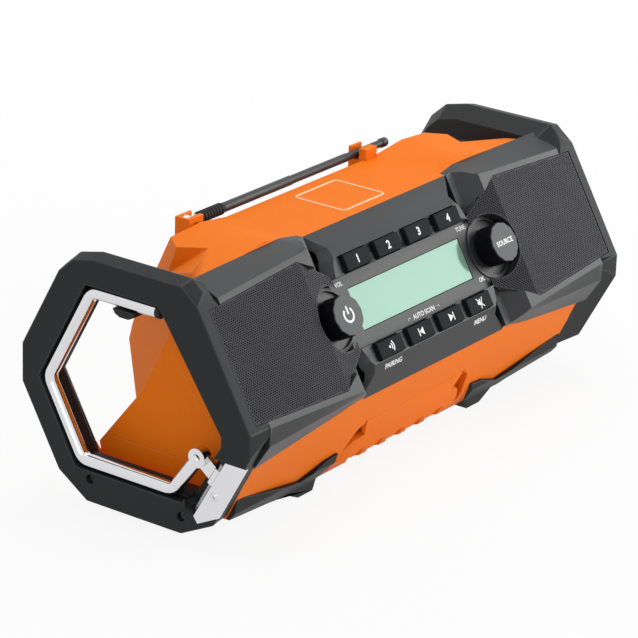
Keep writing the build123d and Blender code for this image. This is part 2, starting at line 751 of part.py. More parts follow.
# ---------------------------------------------------------------- keys
key_names = ["one", "two", "three", "four", "pairing", "back", "next", "mute"]
key_top_w = [-1.9] * 4 + [-3.3] * 4
key_low_w = -12.0             # underside of the keys
key_stem = 2.0               # pin below a key that works its switch
for name, (key_u, key_v), top_w in zip(key_names, key_spots, key_top_w):
    with BuildPart() as key:
        with BuildSketch(panel(key_low_w)):
            with Locations((key_u, key_v)):
                Rectangle(key_width, key_height)
        extrude(amount=top_w - key_low_w)
        fillet(key.faces().sort_by(out_of_panel)[-1].edges(), 0.7)
        with BuildSketch(panel(key_low_w)):
            with Locations((key_u, key_v)):
                Circle(3)
        extrude(amount=-key_stem)
    save(key.part, "key_" + name)

with BuildPart() as key_board:
    with BuildSketch(panel(-17.0)):
        with Locations((0, 28), (0, -28.6)):
            Rectangle(138, 17)
        with Locations((-68, 0), (68, 0)):
            Rectangle(8, 70)
        with Locations((-82, 0), (82, 0)):
            Rectangle(28, 22)
        with Locations((-knob_x, 0), (knob_x, 0)):
            Rectangle(housing_size, housing_size, mode=Mode.SUBTRACT)
    extrude(amount=1.6)
    with BuildSketch(panel(-15.4)):
        with Locations(*key_spots):
            Rectangle(6, 6)
    extrude(amount=0.3)
save(key_board.part, "key_board")

# ---------------------------------------------------------------- knobs and their encoders
shaft_radius = 3.0
knob_low_w = -8.9
knob_cap = 0.9               # thickness of the grey face on a knob
detent_radius = 5.4
housing_low_w = -22.4
for side, place in (("volume", -knob_x), ("tuning", knob_x)):
    with BuildPart() as knob:
        with BuildSketch(panel(knob_low_w)):
            with Locations((place, 0)):
                RegularPolygon(knob_radius, 12)
        extrude(amount=knob_face_w - knob_cap - knob_low_w)
        fillet(knob.faces().sort_by(out_of_panel)[-1].edges(), 0.9)
        with BuildSketch(panel(knob_low_w)):
            with Locations((place, 0)):
                Circle(knob_radius - 2.4)
                Circle(5.2, mode=Mode.SUBTRACT)
        extrude(amount=9.5, mode=Mode.SUBTRACT)
        with BuildSketch(panel(knob_low_w)):
            with Locations((place, 0)):
                Circle(shaft_radius)
        extrude(amount=10.5, mode=Mode.SUBTRACT)
    save(knob.part, side + "_knob")
    with BuildPart() as cap:
        with BuildSketch(panel(knob_face_w - knob_cap)):
            with Locations((place, 0)):
                RegularPolygon(knob_radius - 1.2, 12)
        extrude(amount=knob_cap)
    save(cap.part, side + "_cap")
    with BuildPart() as shaft:
        add(panel_cylinder(place, 0, shaft_radius, -19.6, knob_low_w + 10.5))
    save(shaft.part, side + "_shaft")
    with BuildPart() as detent:
        with BuildSketch(panel(-19.2)):
            with Locations((place, 0)):
                Circle(detent_radius)
                Circle(shaft_radius + bearing_air, mode=Mode.SUBTRACT)
        extrude(amount=5.2)
    save(detent.part, side + "_detent")

with BuildPart() as encoder_housings:
    with BuildSketch(panel(housing_low_w)):
        with Locations((-knob_x, 0), (knob_x, 0)):
            Rectangle(housing_size, housing_size)
    extrude(amount=-13.3 - housing_low_w)
    with BuildSketch(panel(-21.0)):
        with Locations((-knob_x, 0), (knob_x, 0)):
            Circle(detent_radius + bearing_air)
    extrude(amount=8.5, mode=Mode.SUBTRACT)
save(encoder_housings.part, "encoder_housings")

# ---------------------------------------------------------------- main board on its spacers
with BuildPart() as main_board:
    with BuildSketch(panel(-44)):
        Rectangle(170, 66)
    extrude(amount=1.6)
    with BuildSketch(panel(-42.4)):
        with Locations((-50, 12), (8, -10), (56, 14)):
            Rectangle(22, 16)
    extrude(amount=3.0)
    with BuildSketch(panel(-42.4)):
        with Locations((-66, 27), (66, 27), (-66, -27), (66, -27)):
            Circle(2.2)
    extrude(amount=25.4)
save(main_board.part, "main_board")

# ---------------------------------------------------------------- battery door and its pin
door_out = (-math.cos(math.radians(door_lean)), -math.sin(math.radians(door_lean)))     # (y, z) of its facing
wing_through = (door_half, door_top[0] + door_proud * door_out[0], door_top[1] + door_proud * door_out[1])
wing_slant = math.atan2(wing_fall, wing_half - door_half)
wing_facing = (math.sin(wing_slant), math.cos(wing_slant) * door_out[0], math.cos(wing_slant) * door_out[1])
with BuildPart() as battery_door:
    add(door_prism(door_right, door_proud, door_proud - 2 * hinge_round))
    add(door_bar(-door_half, door_half, hinge_round))
    for wedge in both_sides(half_space(wing_through, wing_facing)):
        add(wedge, mode=Mode.SUBTRACT)
    with Locations(*scoop_spots):
        Sphere(scoop_radius, mode=Mode.SUBTRACT)
    add(door_bar(-60, 60, door_pin_radius + bearing_air), mode=Mode.SUBTRACT)
save(battery_door.part, "battery_door")

with BuildPart() as door_hinge_pin:
    add(door_bar(-pin_end, pin_end, door_pin_radius))
save(door_hinge_pin.part, "door_hinge_pin")

# ---------------------------------------------------------------- battery pack in its bay
pack_box = ((-48.0, 48.0), (-46.0, 12.0), (-74.0, -48.5))     # x, y and z from the loop centre


def block(spans):
    """Box between two limits on each axis, measured from the loop centre."""
    (x_a, x_b), (y_a, y_b), (z_a, z_b) = spans
    with BuildPart() as piece:
        with Locations(((x_a + x_b) / 2, depth_shift + (y_a + y_b) / 2, axis_height + (z_a + z_b) / 2)):
            Box(x_b - x_a, y_b - y_a, z_b - z_a)
    return piece.part


with BuildPart() as battery_bay:
    add(block(((-50.6, 50.6), (-46, 17), (-76, -45.5))))
    add(block(((-48.4, 48.4), (-60, 14.6), (-74, -48))), mode=Mode.SUBTRACT)
save(battery_bay.part, "battery_bay")

with BuildPart() as battery_pack:
    add(block(pack_box))
    chamfer(battery_pack.edges().filter_by(Axis.Y), 2.0)
save(battery_pack.part, "battery_pack")

with BuildPart() as battery_terminals:
    for x in (-18.0, 18.0):
        add(block(((x - 4, x + 4), (12, 14.6), (-66, -56))))
save(battery_terminals.part, "battery_terminals")

# ---------------------------------------------------------------- base rails and feet
case_cavity = case_block(wall, -90, 0, [wall, -12] + [wall] * 6)
for side, keep_x in (("left", -1), ("right", 1)):
    with BuildPart() as base_rail:
        add(rail_zone if keep_x > 0 else mirror(rail_zone, about=Plane.YZ))
        add(case_cavity, mode=Mode.SUBTRACT)
    save(base_rail.part, side + "_base_rail")

with BuildPart() as rear_feet:
    for x in (-92.0, 92.0):
        with BuildSketch(front(20)):
            with Locations((x, 0)):
                Polygon((-16, -79), (-8, -axis_height), (8, -axis_height), (16, -79), align=None)
        extrude(amount=-14)
save(rear_feet.part, "rear_feet")

# ---------------------------------------------------------------- screws
with BuildPart() as loop_screws:
    for x, way in ((-half_length + 3.2, 1), (half_length - 3.2, -1)):
        with BuildSketch(section(x)):
            with Locations(*screw_spots):
                Circle(screw_head)
        extrude(amount=way * 2.0)
        with BuildSketch(section(x + way * 2.0)):
            with Locations(*screw_spots):
                Circle(screw_shank)
        extrude(amount=way * 9.0)
save(loop_screws.part, "loop_screws")

with BuildPart() as case_screws:
    with BuildSketch(front(50.2)):
        with Locations(*post_spots):
            Circle(3.0)
    extrude(amount=1.8)
    with BuildSketch(front(48.4)):
        with Locations(*post_spots):
            Circle(1.5)
    extrude(amount=14)
save(case_screws.part, "case_screws")

# ---------------------------------------------------------------- sockets behind a hinged cover
with BuildPart() as jack_block:
    add(block(((jack_x - 20, jack_x + 20), (38, cover_low_y - 0.3), (jack_z - 8.5, jack_z + 8.5))))
    with BuildSketch(front(cover_low_y)):
        with Locations((jack_x - 12, jack_z)):
            Circle(4.2)
        with Locations((jack_x + 1, jack_z)):
            Circle(3.2)
        with Locations((jack_x + 13, jack_z)):
            Rectangle(6, 12)
    extrude(amount=7, mode=Mode.SUBTRACT)
save(jack_block.part, "jack_block")

with BuildPart() as jack_cover:
    add(block((
        (jack_x - cover_half[0], jack_x + cover_half[0]), (cover_low_y, back_y),
        (jack_z - cover_half[1] + cover_round, jack_z + cover_half[1]),
    )))
    add(cover_bar(-cover_half[0], cover_half[0], cover_round))
    add(cover_bar(-30, 30, cover_pin_radius + bearing_air), mode=Mode.SUBTRACT)
save(jack_cover.part, "jack_cover")

with BuildPart() as jack_cover_pin:
    add(cover_bar(-cover_half[0] - 3.0, cover_half[0] + 3.0, cover_pin_radius))
save(jack_cover_pin.part, "jack_cover_pin")

# ---------------------------------------------------------------- antenna
knuckle_radius = 4.0
knuckle_half = 2.7
with BuildPart() as antenna_bracket:
    add(block(((antenna_x - 7, antenna_x + 7), (antenna_y - 6, antenna_y + 5), (40, antenna_z + 4.5))))
    add(block((
        (antenna_x - 4.6, antenna_x + 20),
        (antenna_y - knuckle_half - 0.2, antenna_y + knuckle_half + 0.2),
        (antenna_z - knuckle_radius - 0.6, 100),
    )), mode=Mode.SUBTRACT)
    add(case_block(0.0, -90, 90, [0] * 8), mode=Mode.SUBTRACT)
    with BuildSketch(front(antenna_y + 10)):
        with Locations((antenna_x, antenna_z)):
            Circle(hinge_pin_radius)
    extrude(amount=30, mode=Mode.SUBTRACT)
save(antenna_bracket.part, "antenna_bracket")

with BuildPart() as antenna_pin:
    with BuildSketch(front(antenna_y + 5.6)):
        with Locations((antenna_x, antenna_z)):
            Circle(hinge_pin_radius)
    extrude(amount=12.2)
save(antenna_pin.part, "antenna_pin")

with BuildPart() as antenna_knuckle:
    with BuildSketch(front(antenna_y + knuckle_half)):
        with Locations((antenna_x, antenna_z)):
            Circle(knuckle_radius)
    extrude(amount=2 * knuckle_half)
    with BuildSketch(section(antenna_x)):
        with Locations((antenna_y, antenna_z)):
            Circle(knuckle_half)
    extrude(amount=9)
    with BuildSketch(front(antenna_y + 10)):
        with Locations((antenna_x, antenna_z)):
            Circle(hinge_pin_radius + bearing_air)
    extrude(amount=30, mode=Mode.SUBTRACT)
save(antenna_knuckle.part, "antenna_knuckle")

with BuildPart() as antenna_sleeve:
    with BuildSketch(section(antenna_x + 9)):
        with Locations((antenna_y, antenna_z)):
            Circle(3.4)
    extrude(amount=24)
    for i in range(8):
        with BuildSketch(section(antenna_x + 10 + 2.8 * i)):
            with Locations((antenna_y, antenna_z)):
                Circle(3.9)
        extrude(amount=1.6)
save(antenna_sleeve.part, "antenna_sleeve")

with BuildPart() as antenna_rod:
    rod_steps = [(33, 70, 3.1), (103, 60, 2.8), (163, 37, 2.5), (200, 6, 3.1)]
    for start, length, radius in rod_steps:
        with BuildSketch(section(antenna_x + start)):
            with Locations((antenna_y, antenna_z)):
                Circle(radius)
        extrude(amount=length)
save(antenna_rod.part, "antenna_rod")

with BuildPart() as antenna_clip:
    add(block(((66, 78), (antenna_y - 9, antenna_y + 5.2), (40, antenna_z + 4.4))))
    add(block(((60, 84), (antenna_y - 3.1, antenna_y + 3.1), (antenna_z - 3.4, 100))), mode=Mode.SUBTRACT)
    add(case_block(0.0, -90, 90, [0] * 8), mode=Mode.SUBTRACT)
save(antenna_clip.part, "antenna_clip")

# ---------------------------------------------------------------- hanging hook
rod_path = [(-16.5, 56.0), (33.0, 56.0), (66.0, -6.0), (39.3, -53.0), (-29.5, -53.0), rod_foot]
bend_radius = 9.0
with BuildPart() as hook_rod:
    with BuildLine(section(rod_x)) as rod_line:
        FilletPolyline(*rod_path, radius=bend_radius)
    with BuildSketch(Plane(origin=rod_line.line @ 0, z_dir=rod_line.line % 0)):
        Circle(rod_radius)
    sweep(path=rod_line.line)
    for y, z in (rod_path[0], rod_path[-1]):
        with Locations((rod_x, depth_shift + y, axis_height + z)):
            Sphere(rod_radius)
save(hook_rod.part, "hook_rod")

with BuildPart() as hook_eye:
    leg = (hinge_run[0], hinge_run[1])
    add(prism_x(
        [
            (rod_foot[0] + 5 * leg[0], rod_foot[1] + 5 * leg[1]), hinge_at(eye_span[1] - 1),
            hinge_at(eye_span[0] + 1), (rod_foot[0] - 5 * leg[0], rod_foot[1] - 5 * leg[1]),
        ],
        hinge_x - 1.5, hinge_x + 1.5,
    ))
    with BuildSketch(section(rod_x - 3.4)):
        with Locations(rod_foot):
            Circle(6.0)
    extrude(amount=6.8)
    add(hinge_bar(eye_span[0], eye_span[1], eye_radius))
    add(hook_rod.part, mode=Mode.SUBTRACT)
    add(hinge_bar(-40, 40, hinge_pin_radius + bearing_air), mode=Mode.SUBTRACT)
save(hook_eye.part, "hook_eye")

with BuildPart() as hook_pin:
    add(hinge_bar(-pin_half, pin_half, hinge_pin_radius))
save(hook_pin.part, "hook_pin")

with BuildPart() as hook_plate:
    add(prism_x(plate_outline, -half_length, -half_length + plate_thickness))
    with BuildSketch(section(-half_length)):
        with Locations(plate_screw):
            Circle(2.8)
    extrude(amount=plate_thickness, mode=Mode.SUBTRACT)
save(hook_plate.part, "hook_plate")

with BuildPart() as hook_screw:
    with BuildSketch(section(-half_length)):
        with Locations(plate_screw):
            Circle(2.8)
    extrude(amount=plate_thickness)
    with BuildSketch(section(-half_length + plate_thickness)):
        with Locations(plate_screw):
            Circle(1.3)
    extrude(amount=8)
save(hook_screw.part, "hook_screw")

clip_foot = 51.2             # top of the catch, just clear of the rod
with BuildPart() as hook_clip:
    with BuildSketch(section(-199.5)):
        Polygon((-1, clip_foot), (15, clip_foot), (13, 48.2), (9.5, 46.6), (3, 46.6), (-1, 48.6), align=None)
    extrude(amount=14.5)
    add(block(((-190.6, -185), (-1, 15), (clip_foot, 56.0))))
save(hook_clip.part, "hook_clip")
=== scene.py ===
"""Looks of a jobsite radio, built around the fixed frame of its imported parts.

Lengths named in the classes are millimetres; every mesh is written in metres, in the frame's own axes:
+X to the right of someone facing the panel, -Y towards that person, +Z up, ground at zero.
Two local systems are used: ring coordinates (x, y, z) from the centre of the end loops, and panel
coordinates (x, v, w), where v climbs the tilted speaker face and w stands out of it.
"""
from __future__ import annotations

import json
import logging
import math
from dataclasses import dataclass, field
from enum import Enum
from typing import Iterable, Sequence

import bmesh
import bpy
import numpy as np
from mathutils import Matrix, Vector

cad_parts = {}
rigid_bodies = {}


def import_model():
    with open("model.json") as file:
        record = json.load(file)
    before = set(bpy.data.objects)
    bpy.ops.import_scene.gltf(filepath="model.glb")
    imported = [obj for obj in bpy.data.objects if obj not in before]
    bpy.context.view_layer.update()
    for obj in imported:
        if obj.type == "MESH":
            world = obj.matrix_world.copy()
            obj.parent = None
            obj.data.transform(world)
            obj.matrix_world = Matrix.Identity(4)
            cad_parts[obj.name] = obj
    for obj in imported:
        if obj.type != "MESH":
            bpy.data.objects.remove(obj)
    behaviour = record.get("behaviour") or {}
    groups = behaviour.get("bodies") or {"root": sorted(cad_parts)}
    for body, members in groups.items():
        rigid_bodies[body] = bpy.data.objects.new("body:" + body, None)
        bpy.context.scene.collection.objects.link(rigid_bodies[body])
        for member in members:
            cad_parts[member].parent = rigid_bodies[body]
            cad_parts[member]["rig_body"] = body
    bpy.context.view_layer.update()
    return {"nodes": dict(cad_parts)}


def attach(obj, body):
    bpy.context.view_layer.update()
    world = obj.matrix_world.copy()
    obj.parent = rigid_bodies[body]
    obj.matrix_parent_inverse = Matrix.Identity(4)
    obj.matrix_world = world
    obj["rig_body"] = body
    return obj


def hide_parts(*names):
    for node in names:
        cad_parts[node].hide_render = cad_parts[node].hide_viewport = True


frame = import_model()
NODES = frame["nodes"]
LOG = logging.getLogger("radio")
MM = 0.001
Rgb = tuple[float, float, float]
Pairs = Sequence[tuple[float, float]]
Mesh, Material, Socket = bpy.types.Mesh, bpy.types.Material, bpy.types.NodeSocket
RING_CENTRE = np.array([0.0, 2.4, 86.0])


# ---- places
@dataclass(frozen=True)
class PanelAxes:
    """The tilted front: x across it, v up its slope, w out of it, in millimetres.

    A point is the foot of the face's normal moved w along the normal and v up the slope.
    """

    tilt: float = math.radians(30.0)
    reach: float = 75.7
    drop: float = -5.8

    @property
    def across(self) -> np.ndarray:
        """Unit vector to the right."""
        return np.array([1.0, 0.0, 0.0])

    @property
    def up(self) -> np.ndarray:
        """Unit vector up the slope."""
        return np.array([0.0, math.sin(self.tilt), math.cos(self.tilt)])

    @property
    def out(self) -> np.ndarray:
        """Unit vector out of the face."""
        return np.array([0.0, -math.cos(self.tilt), math.sin(self.tilt)])

    def place(self, x: np.ndarray, v: np.ndarray, w: np.ndarray) -> np.ndarray:
        """Points of the panel as frame coordinates.

        Args:
            x, v, w: panel coordinates, numbers or arrays of one shape.

        Returns:
            Array of that shape with a last axis of three, in metres.
        """
        x, v, w = np.broadcast_arrays(np.asarray(x, float), v, w)
        along = x[..., None] * self.across + (self.drop + v)[..., None] * self.up
        return (RING_CENTRE + along + (self.reach + w)[..., None] * self.out) * MM


PANEL = PanelAxes()


def ring_point(x: np.ndarray, y: np.ndarray, z: np.ndarray) -> np.ndarray:
    """Ring coordinates in millimetres as frame coordinates in metres."""
    x, y, z = np.broadcast_arrays(np.asarray(x, float), y, z)
    return (np.stack([x, y, z], axis=-1) + RING_CENTRE) * MM


@dataclass(frozen=True)
class Spot:
    """A small flat place on the object: its middle and its two directions, for prints and screws."""

    middle: tuple[float, float, float]
    right: tuple[float, float, float]
    up: tuple[float, float, float]

    def place(self, a: np.ndarray, b: np.ndarray, h: np.ndarray) -> np.ndarray:
        """Points a to the right, b up and h out of the place, in millimetres, as frame metres."""
        right, up = np.array(self.right, float), np.array(self.up, float)
        right, up = right / np.linalg.norm(right), up / np.linalg.norm(up)
        a, b, h = np.broadcast_arrays(np.asarray(a, float), b, h)
        offset = a[..., None] * right + b[..., None] * up + h[..., None] * np.cross(right, up)
        return (np.array(self.middle) + offset) * MM


def panel_spot(x: float, v: float, w: float, lean: float = 0.0) -> Spot:
    """Spot on the panel; lean turns its up direction away from the slope, in radians."""
    up = math.cos(lean) * PANEL.up + math.sin(lean) * PANEL.out
    return Spot(tuple(PANEL.place(x, v, w) / MM), tuple(PANEL.across), tuple(up))


# ---- surfaces
def grid_quads(rows: int, columns: int, close_rows: bool = False, close_columns: bool = False) -> np.ndarray:
    """Corner numbers of the quads between neighbouring points of a grid.

    Args:
        rows, columns: size of the grid, whose points are numbered row by row.
        close_rows, close_columns: joins the last row or column to the first.

    Returns:
        Array (count, 4).
    """
    r, c = np.meshgrid(
        np.arange(rows if close_rows else rows - 1), np.arange(columns if close_columns else columns - 1),
        indexing="ij",
    )
    r_next, c_next = (r + 1) % rows, (c + 1) % columns
    corners = [r * columns + c, r * columns + c_next, r_next * columns + c_next, r_next * columns + c]
    return np.stack(corners, axis=-1).reshape(-1, 4)


def make_mesh(name: str, points: np.ndarray, faces: Iterable[Sequence[int]], smooth: float = 40.0) -> Mesh:
    """Mesh from points and faces, its doubles merged and its normals turned outwards.

    Args:
        name: name of the mesh.
        points: array (..., 3) in metres.
        faces: corner numbers of each face.
        smooth: edges that turn more than this, in degrees, stay sharp.
    """
    mesh = bpy.data.meshes.new(name)
    mesh.from_pydata(np.asarray(points, float).reshape(-1, 3), [], faces)
    work = bmesh.new()
    work.from_mesh(mesh)
    bmesh.ops.remove_doubles(work, verts=work.verts, dist=1e-7)
    bmesh.ops.recalc_face_normals(work, faces=work.faces)
    work.to_mesh(mesh)
    work.free()
    shade(mesh, smooth)
    return mesh


def shade(mesh: Mesh, smooth: float) -> None:
    """Smooth shading that stays sharp where faces turn by more than smooth degrees."""
    mesh.polygons.foreach_set("use_smooth", np.ones(len(mesh.polygons), bool))
    mesh.set_sharp_from_angle(angle=math.radians(smooth))


def rounded_path(corners: Pairs, radius: float, steps: int = 10) -> np.ndarray:
    """Open polyline whose corners are arcs of one radius.

    An arc starts radius * tan(turn / 2) before its corner and turns about a centre on the inner side.

    Returns:
        Array (count, 2).
    """
    points = np.array(corners, float)
    parts = [points[:1]]
    for before, corner, after in zip(points[:-2], points[1:-1], points[2:]):
        a = (corner - before) / np.linalg.norm(corner - before)
        b = (after - corner) / np.linalg.norm(after - corner)
        turn = math.atan2(a[0] * b[1] - a[1] * b[0], a @ b)
        side = math.copysign(1.0, turn) * np.array([-a[1], a[0]])
        start = corner - a * radius * math.tan(abs(turn) / 2)
        angle = np.linspace(0.0, abs(turn), steps)[:, None]
        parts.append(start + radius * (np.sin(angle) * a + (1 - np.cos(angle)) * side))
    parts.append(points[-1:])
    return np.concatenate(parts)


def flat_tube(
    name: str, path: np.ndarray, x: float, radius: float, sides: int = 28, rings: int = 6, bulge: float = 0.35
) -> Mesh:
    """Round bar along a path in the plane x, with domed ends.

    A ring of the bar is path + r * (cos a * X + sin a * normal); at each end the rings shrink along a
    quarter circle to a point.

    Args:
        name: name of the mesh.
        path: array (count, 2) of ring (y, z) in millimetres.
        x, radius: plane and radius of the bar in millimetres.
        sides, rings: corners round the bar, and rings of each dome.
        bulge: height of a dome as a share of the radius.
    """
    tangent = np.gradient(path, axis=0)
    tangent /= np.linalg.norm(tangent, axis=1, keepdims=True)
    dome = np.linspace(math.pi / 2, 0.0, rings)[:, None]
    head = path[:1] - tangent[:1] * radius * np.sin(dome) * bulge
    tail = path[-1:] + tangent[-1:] * radius * np.sin(dome[::-1]) * bulge
    centre = np.concatenate([head, path, tail])
    along = np.concatenate([np.repeat(tangent[:1], rings, 0), tangent, np.repeat(tangent[-1:], rings, 0)])
    size = radius * np.concatenate([np.cos(dome[:, 0]), np.ones(len(path)), np.cos(dome[::-1, 0])])
    angle = np.linspace(0.0, math.tau, sides, endpoint=False)
    out_x = x + size[:, None] * np.cos(angle)
    normal = np.stack([-along[:, 1], along[:, 0]], axis=-1)
    yz = centre[:, None, :] + (size[:, None] * np.sin(angle))[..., None] * normal[:, None, :]
    points = ring_point(out_x, yz[..., 0], yz[..., 1])
    return make_mesh(name, points, grid_quads(len(centre), sides, close_columns=True), 60.0)


def lathe(
    profile: np.ndarray, sides: int, lobes: int = 0, lobe_depth: np.ndarray | float = 0.0
) -> np.ndarray:
    """Points of a profile of (radius, height) turned about an axis: (r cos a, r sin a, height).

    With lobes, the radius is multiplied by 1 + depth * cos(lobes * a).

    Returns:
        Array (profile, sides, 3) in the profile's own units.
    """
    angle = np.linspace(0.0, math.tau, sides, endpoint=False)
    depth = np.broadcast_to(np.asarray(lobe_depth, float), (len(profile),))
    radius = profile[:, :1] * (1.0 + depth[:, None] * np.cos(lobes * angle))
    height = np.broadcast_to(profile[:, 1:], radius.shape)
    return np.stack([radius * np.cos(angle), radius * np.sin(angle), height], axis=-1)


# ---- finishes
class Finish(Enum):
    """Finishes, named as the record's material slots are."""

    ORANGE = "orange_shell"
    BUMPER = "dark_bumper"
    FRONT = "grey_front"
    MESH = "black_mesh"
    KEY = "key_black"
    KNOB = "knob_black"
    CAP = "cap_grey"
    GLASS = "display_glass"
    PANEL = "display_panel"
    CHROME = "bright_steel"
    STEEL = "plain_steel"
    BOARD = "board_green"
    CONE = "cone_black"
    MAGNET = "magnet_dark"
    PACK = "pack_black"
    BRASS = "contact_brass"
    RUBBER = "soft_rubber"
    INK = "key_black.ink"
    CREAM = "orange_shell.cream"

    @property
    def slot(self) -> str:
        """Name of the record's slot that this finish belongs to."""
        return self.value.split(".")[0]


class NodeSheet:
    """Short calls for laying out a shader tree."""

    def __init__(self, tree: bpy.types.NodeTree) -> None:
        """Starts on an existing tree, which is emptied."""
        self.tree = tree
        tree.nodes.clear()

    def node(self, kind: str, **values: object) -> bpy.types.Node:
        """Adds a node; values are set on its sockets where they have that name, else on the node."""
        made = self.tree.nodes.new(kind)
        for name, value in values.items():
            label = name.replace("_", " ")
            socket = made.inputs.get(label) or made.inputs.get(label.title())
            if hasattr(made, name):
                setattr(made, name, value)
            elif socket is not None:
                socket.default_value = value
            else:
                raise ValueError(f"{kind} has nothing named {name}")
        return made

    def link(self, source: Socket, target: Socket) -> None:
        """Joins an output to an input."""
        self.tree.links.new(source, target)

    def maths(self, operation: str, *values: Socket | float) -> Socket:
        """A Math node on sockets or numbers; returns its output."""
        made = self.tree.nodes.new("ShaderNodeMath")
        made.operation = operation
        for index, value in enumerate(values):
            if isinstance(value, Socket):
                self.link(value, made.inputs[index])
            else:
                made.inputs[index].default_value = value
        return made.outputs[0]

    def place(self) -> Socket:
        """The object's own coordinates."""
        return self.node("ShaderNodeTexCoord").outputs["Object"]

    def noise(self, scale: float, detail: float) -> bpy.types.Node:
        """Noise texture on the object's own coordinates."""
        made = self.node("ShaderNodeTexNoise", Scale=scale, Detail=detail)
        self.link(self.place(), made.inputs["Vector"])
        return made

    def seen(self) -> Socket:
        """1 for camera, glossy and transmission rays, 0 for the rays that light a surface."""
        path = self.node("ShaderNodeLightPath").outputs
        direct = self.maths("MAXIMUM", path["Is Camera Ray"], path["Is Glossy Ray"])
        return self.maths("MAXIMUM", direct, path["Is Transmission Ray"])


def start_group(
    name: str, inputs: Sequence[tuple[str, str, object]], outputs: Sequence[tuple[str, str]]
) -> tuple[NodeSheet, bpy.types.Node, bpy.types.Node]:
    """Empty shader group with its sockets made.

    Args:
        name: name of the group.
        inputs: label, socket type and default of each input.
        outputs: label and socket type of each output.

    Returns:
        Sheet of the group, its input node and its output node.
    """
    tree = bpy.data.node_groups.new(name, "ShaderNodeTree")
    for label, kind, value in inputs:
        tree.interface.new_socket(label, in_out="INPUT", socket_type=kind).default_value = value
    for label, kind in outputs:
        tree.interface.new_socket(label, in_out="OUTPUT", socket_type=kind)
    sheet = NodeSheet(tree)
    return sheet, sheet.node("NodeGroupInput"), sheet.node("NodeGroupOutput")


FLOAT, COLOUR = "NodeSocketFloat", "NodeSocketColor"


def moulded_surface() -> bpy.types.NodeTree:
    """Spark-eroded grain, slow random drift of tone, and a painted highlight that lightens the rounded edges
    of a moulding.
    """
    sheet, given, out = start_group(
        "moulded_surface",
        [("Colour", COLOUR, (0.5, 0.5, 0.5, 1)), ("Roughness", FLOAT, 0.5), ("Grain", FLOAT, 1400.0),
         ("Drift", FLOAT, 0.08), ("Rub", FLOAT, 0.2)],
        [("Colour", COLOUR), ("Roughness", FLOAT), ("Height", FLOAT)],
    )
    slow = sheet.noise(16.0, 3.0)
    fine = sheet.noise(5.0, 2.0)
    pits = sheet.node("ShaderNodeTexVoronoi", feature="SMOOTH_F1")
    sheet.link(sheet.place(), pits.inputs["Vector"])
    sheet.link(given.outputs["Grain"], fine.inputs["Scale"])
    sheet.link(sheet.maths("MULTIPLY", given.outputs["Grain"], 1.6), pits.inputs["Scale"])
    drift = sheet.maths("MULTIPLY", sheet.maths("SUBTRACT", slow.outputs["Fac"], 0.5), given.outputs["Drift"])
    fine_drift = sheet.maths("MULTIPLY", sheet.maths("SUBTRACT", fine.outputs["Fac"], 0.5), 0.06)
    gain = sheet.maths("ADD", sheet.maths("ADD", drift, fine_drift), 1.0)
    shaded = sheet.node("ShaderNodeVectorMath", operation="SCALE")
    sheet.link(given.outputs["Colour"], shaded.inputs[0])
    sheet.link(gain, shaded.inputs["Scale"])
    # Painted highlight: faces of the rounded edges, marked by the edge attribute, are lightened towards grey
    # (0.6), scaled by slow noise.
    edge = sheet.node("ShaderNodeAttribute", attribute_name="edge").outputs["Fac"]
    painted_highlight_amount = sheet.maths("MULTIPLY", sheet.maths("MULTIPLY", edge, given.outputs["Rub"]), slow.outputs["Fac"])
    lighter = sheet.node("ShaderNodeMix", data_type="RGBA")
    sheet.link(painted_highlight_amount, lighter.inputs["Factor"])
    sheet.link(shaded.outputs[0], lighter.inputs["A"])
    lighter.inputs["B"].default_value = (0.6, 0.6, 0.6, 1)
    sheet.link(lighter.outputs["Result"], out.inputs["Colour"])
    rough = sheet.maths("ADD", given.outputs["Roughness"], sheet.maths("MULTIPLY", drift, 0.9))
    sheet.link(sheet.maths("SUBTRACT", rough, sheet.maths("MULTIPLY", edge, 0.05)), out.inputs["Roughness"])
    height = sheet.maths("ADD", fine.outputs["Fac"], sheet.maths("MULTIPLY", pits.outputs["Distance"], 0.7))
    sheet.link(height, out.inputs["Height"])
    return sheet.tree


def drawn_metal() -> bpy.types.NodeTree:
    """Hairline scratches and faint haze on metal."""
    sheet, given, out = start_group(
        "drawn_metal",
        [("Roughness", FLOAT, 0.2), ("Haze", FLOAT, 0.1), ("Fineness", FLOAT, 900.0)],
        [("Roughness", FLOAT), ("Height", FLOAT)],
    )
    stretch = sheet.node("ShaderNodeMapping", Scale=(0.12, 1.0, 1.0))
    sheet.link(sheet.place(), stretch.inputs["Vector"])
    lines = sheet.node("ShaderNodeTexNoise", Detail=3.0)
    sheet.link(stretch.outputs[0], lines.inputs["Vector"])
    sheet.link(given.outputs["Fineness"], lines.inputs["Scale"])
    haze = sheet.noise(45.0, 4.0)
    both = sheet.maths("ADD", sheet.maths("MULTIPLY", lines.outputs["Fac"], 0.4), haze.outputs["Fac"])
    spread = sheet.maths("MULTIPLY", sheet.maths("SUBTRACT", both, 0.7), given.outputs["Haze"])
    sheet.link(sheet.maths("ADD", given.outputs["Roughness"], spread), out.inputs["Roughness"])
    sheet.link(lines.outputs["Fac"], out.inputs["Height"])
    return sheet.tree


GROUPS = {"moulded_surface": moulded_surface, "drawn_metal": drawn_metal}


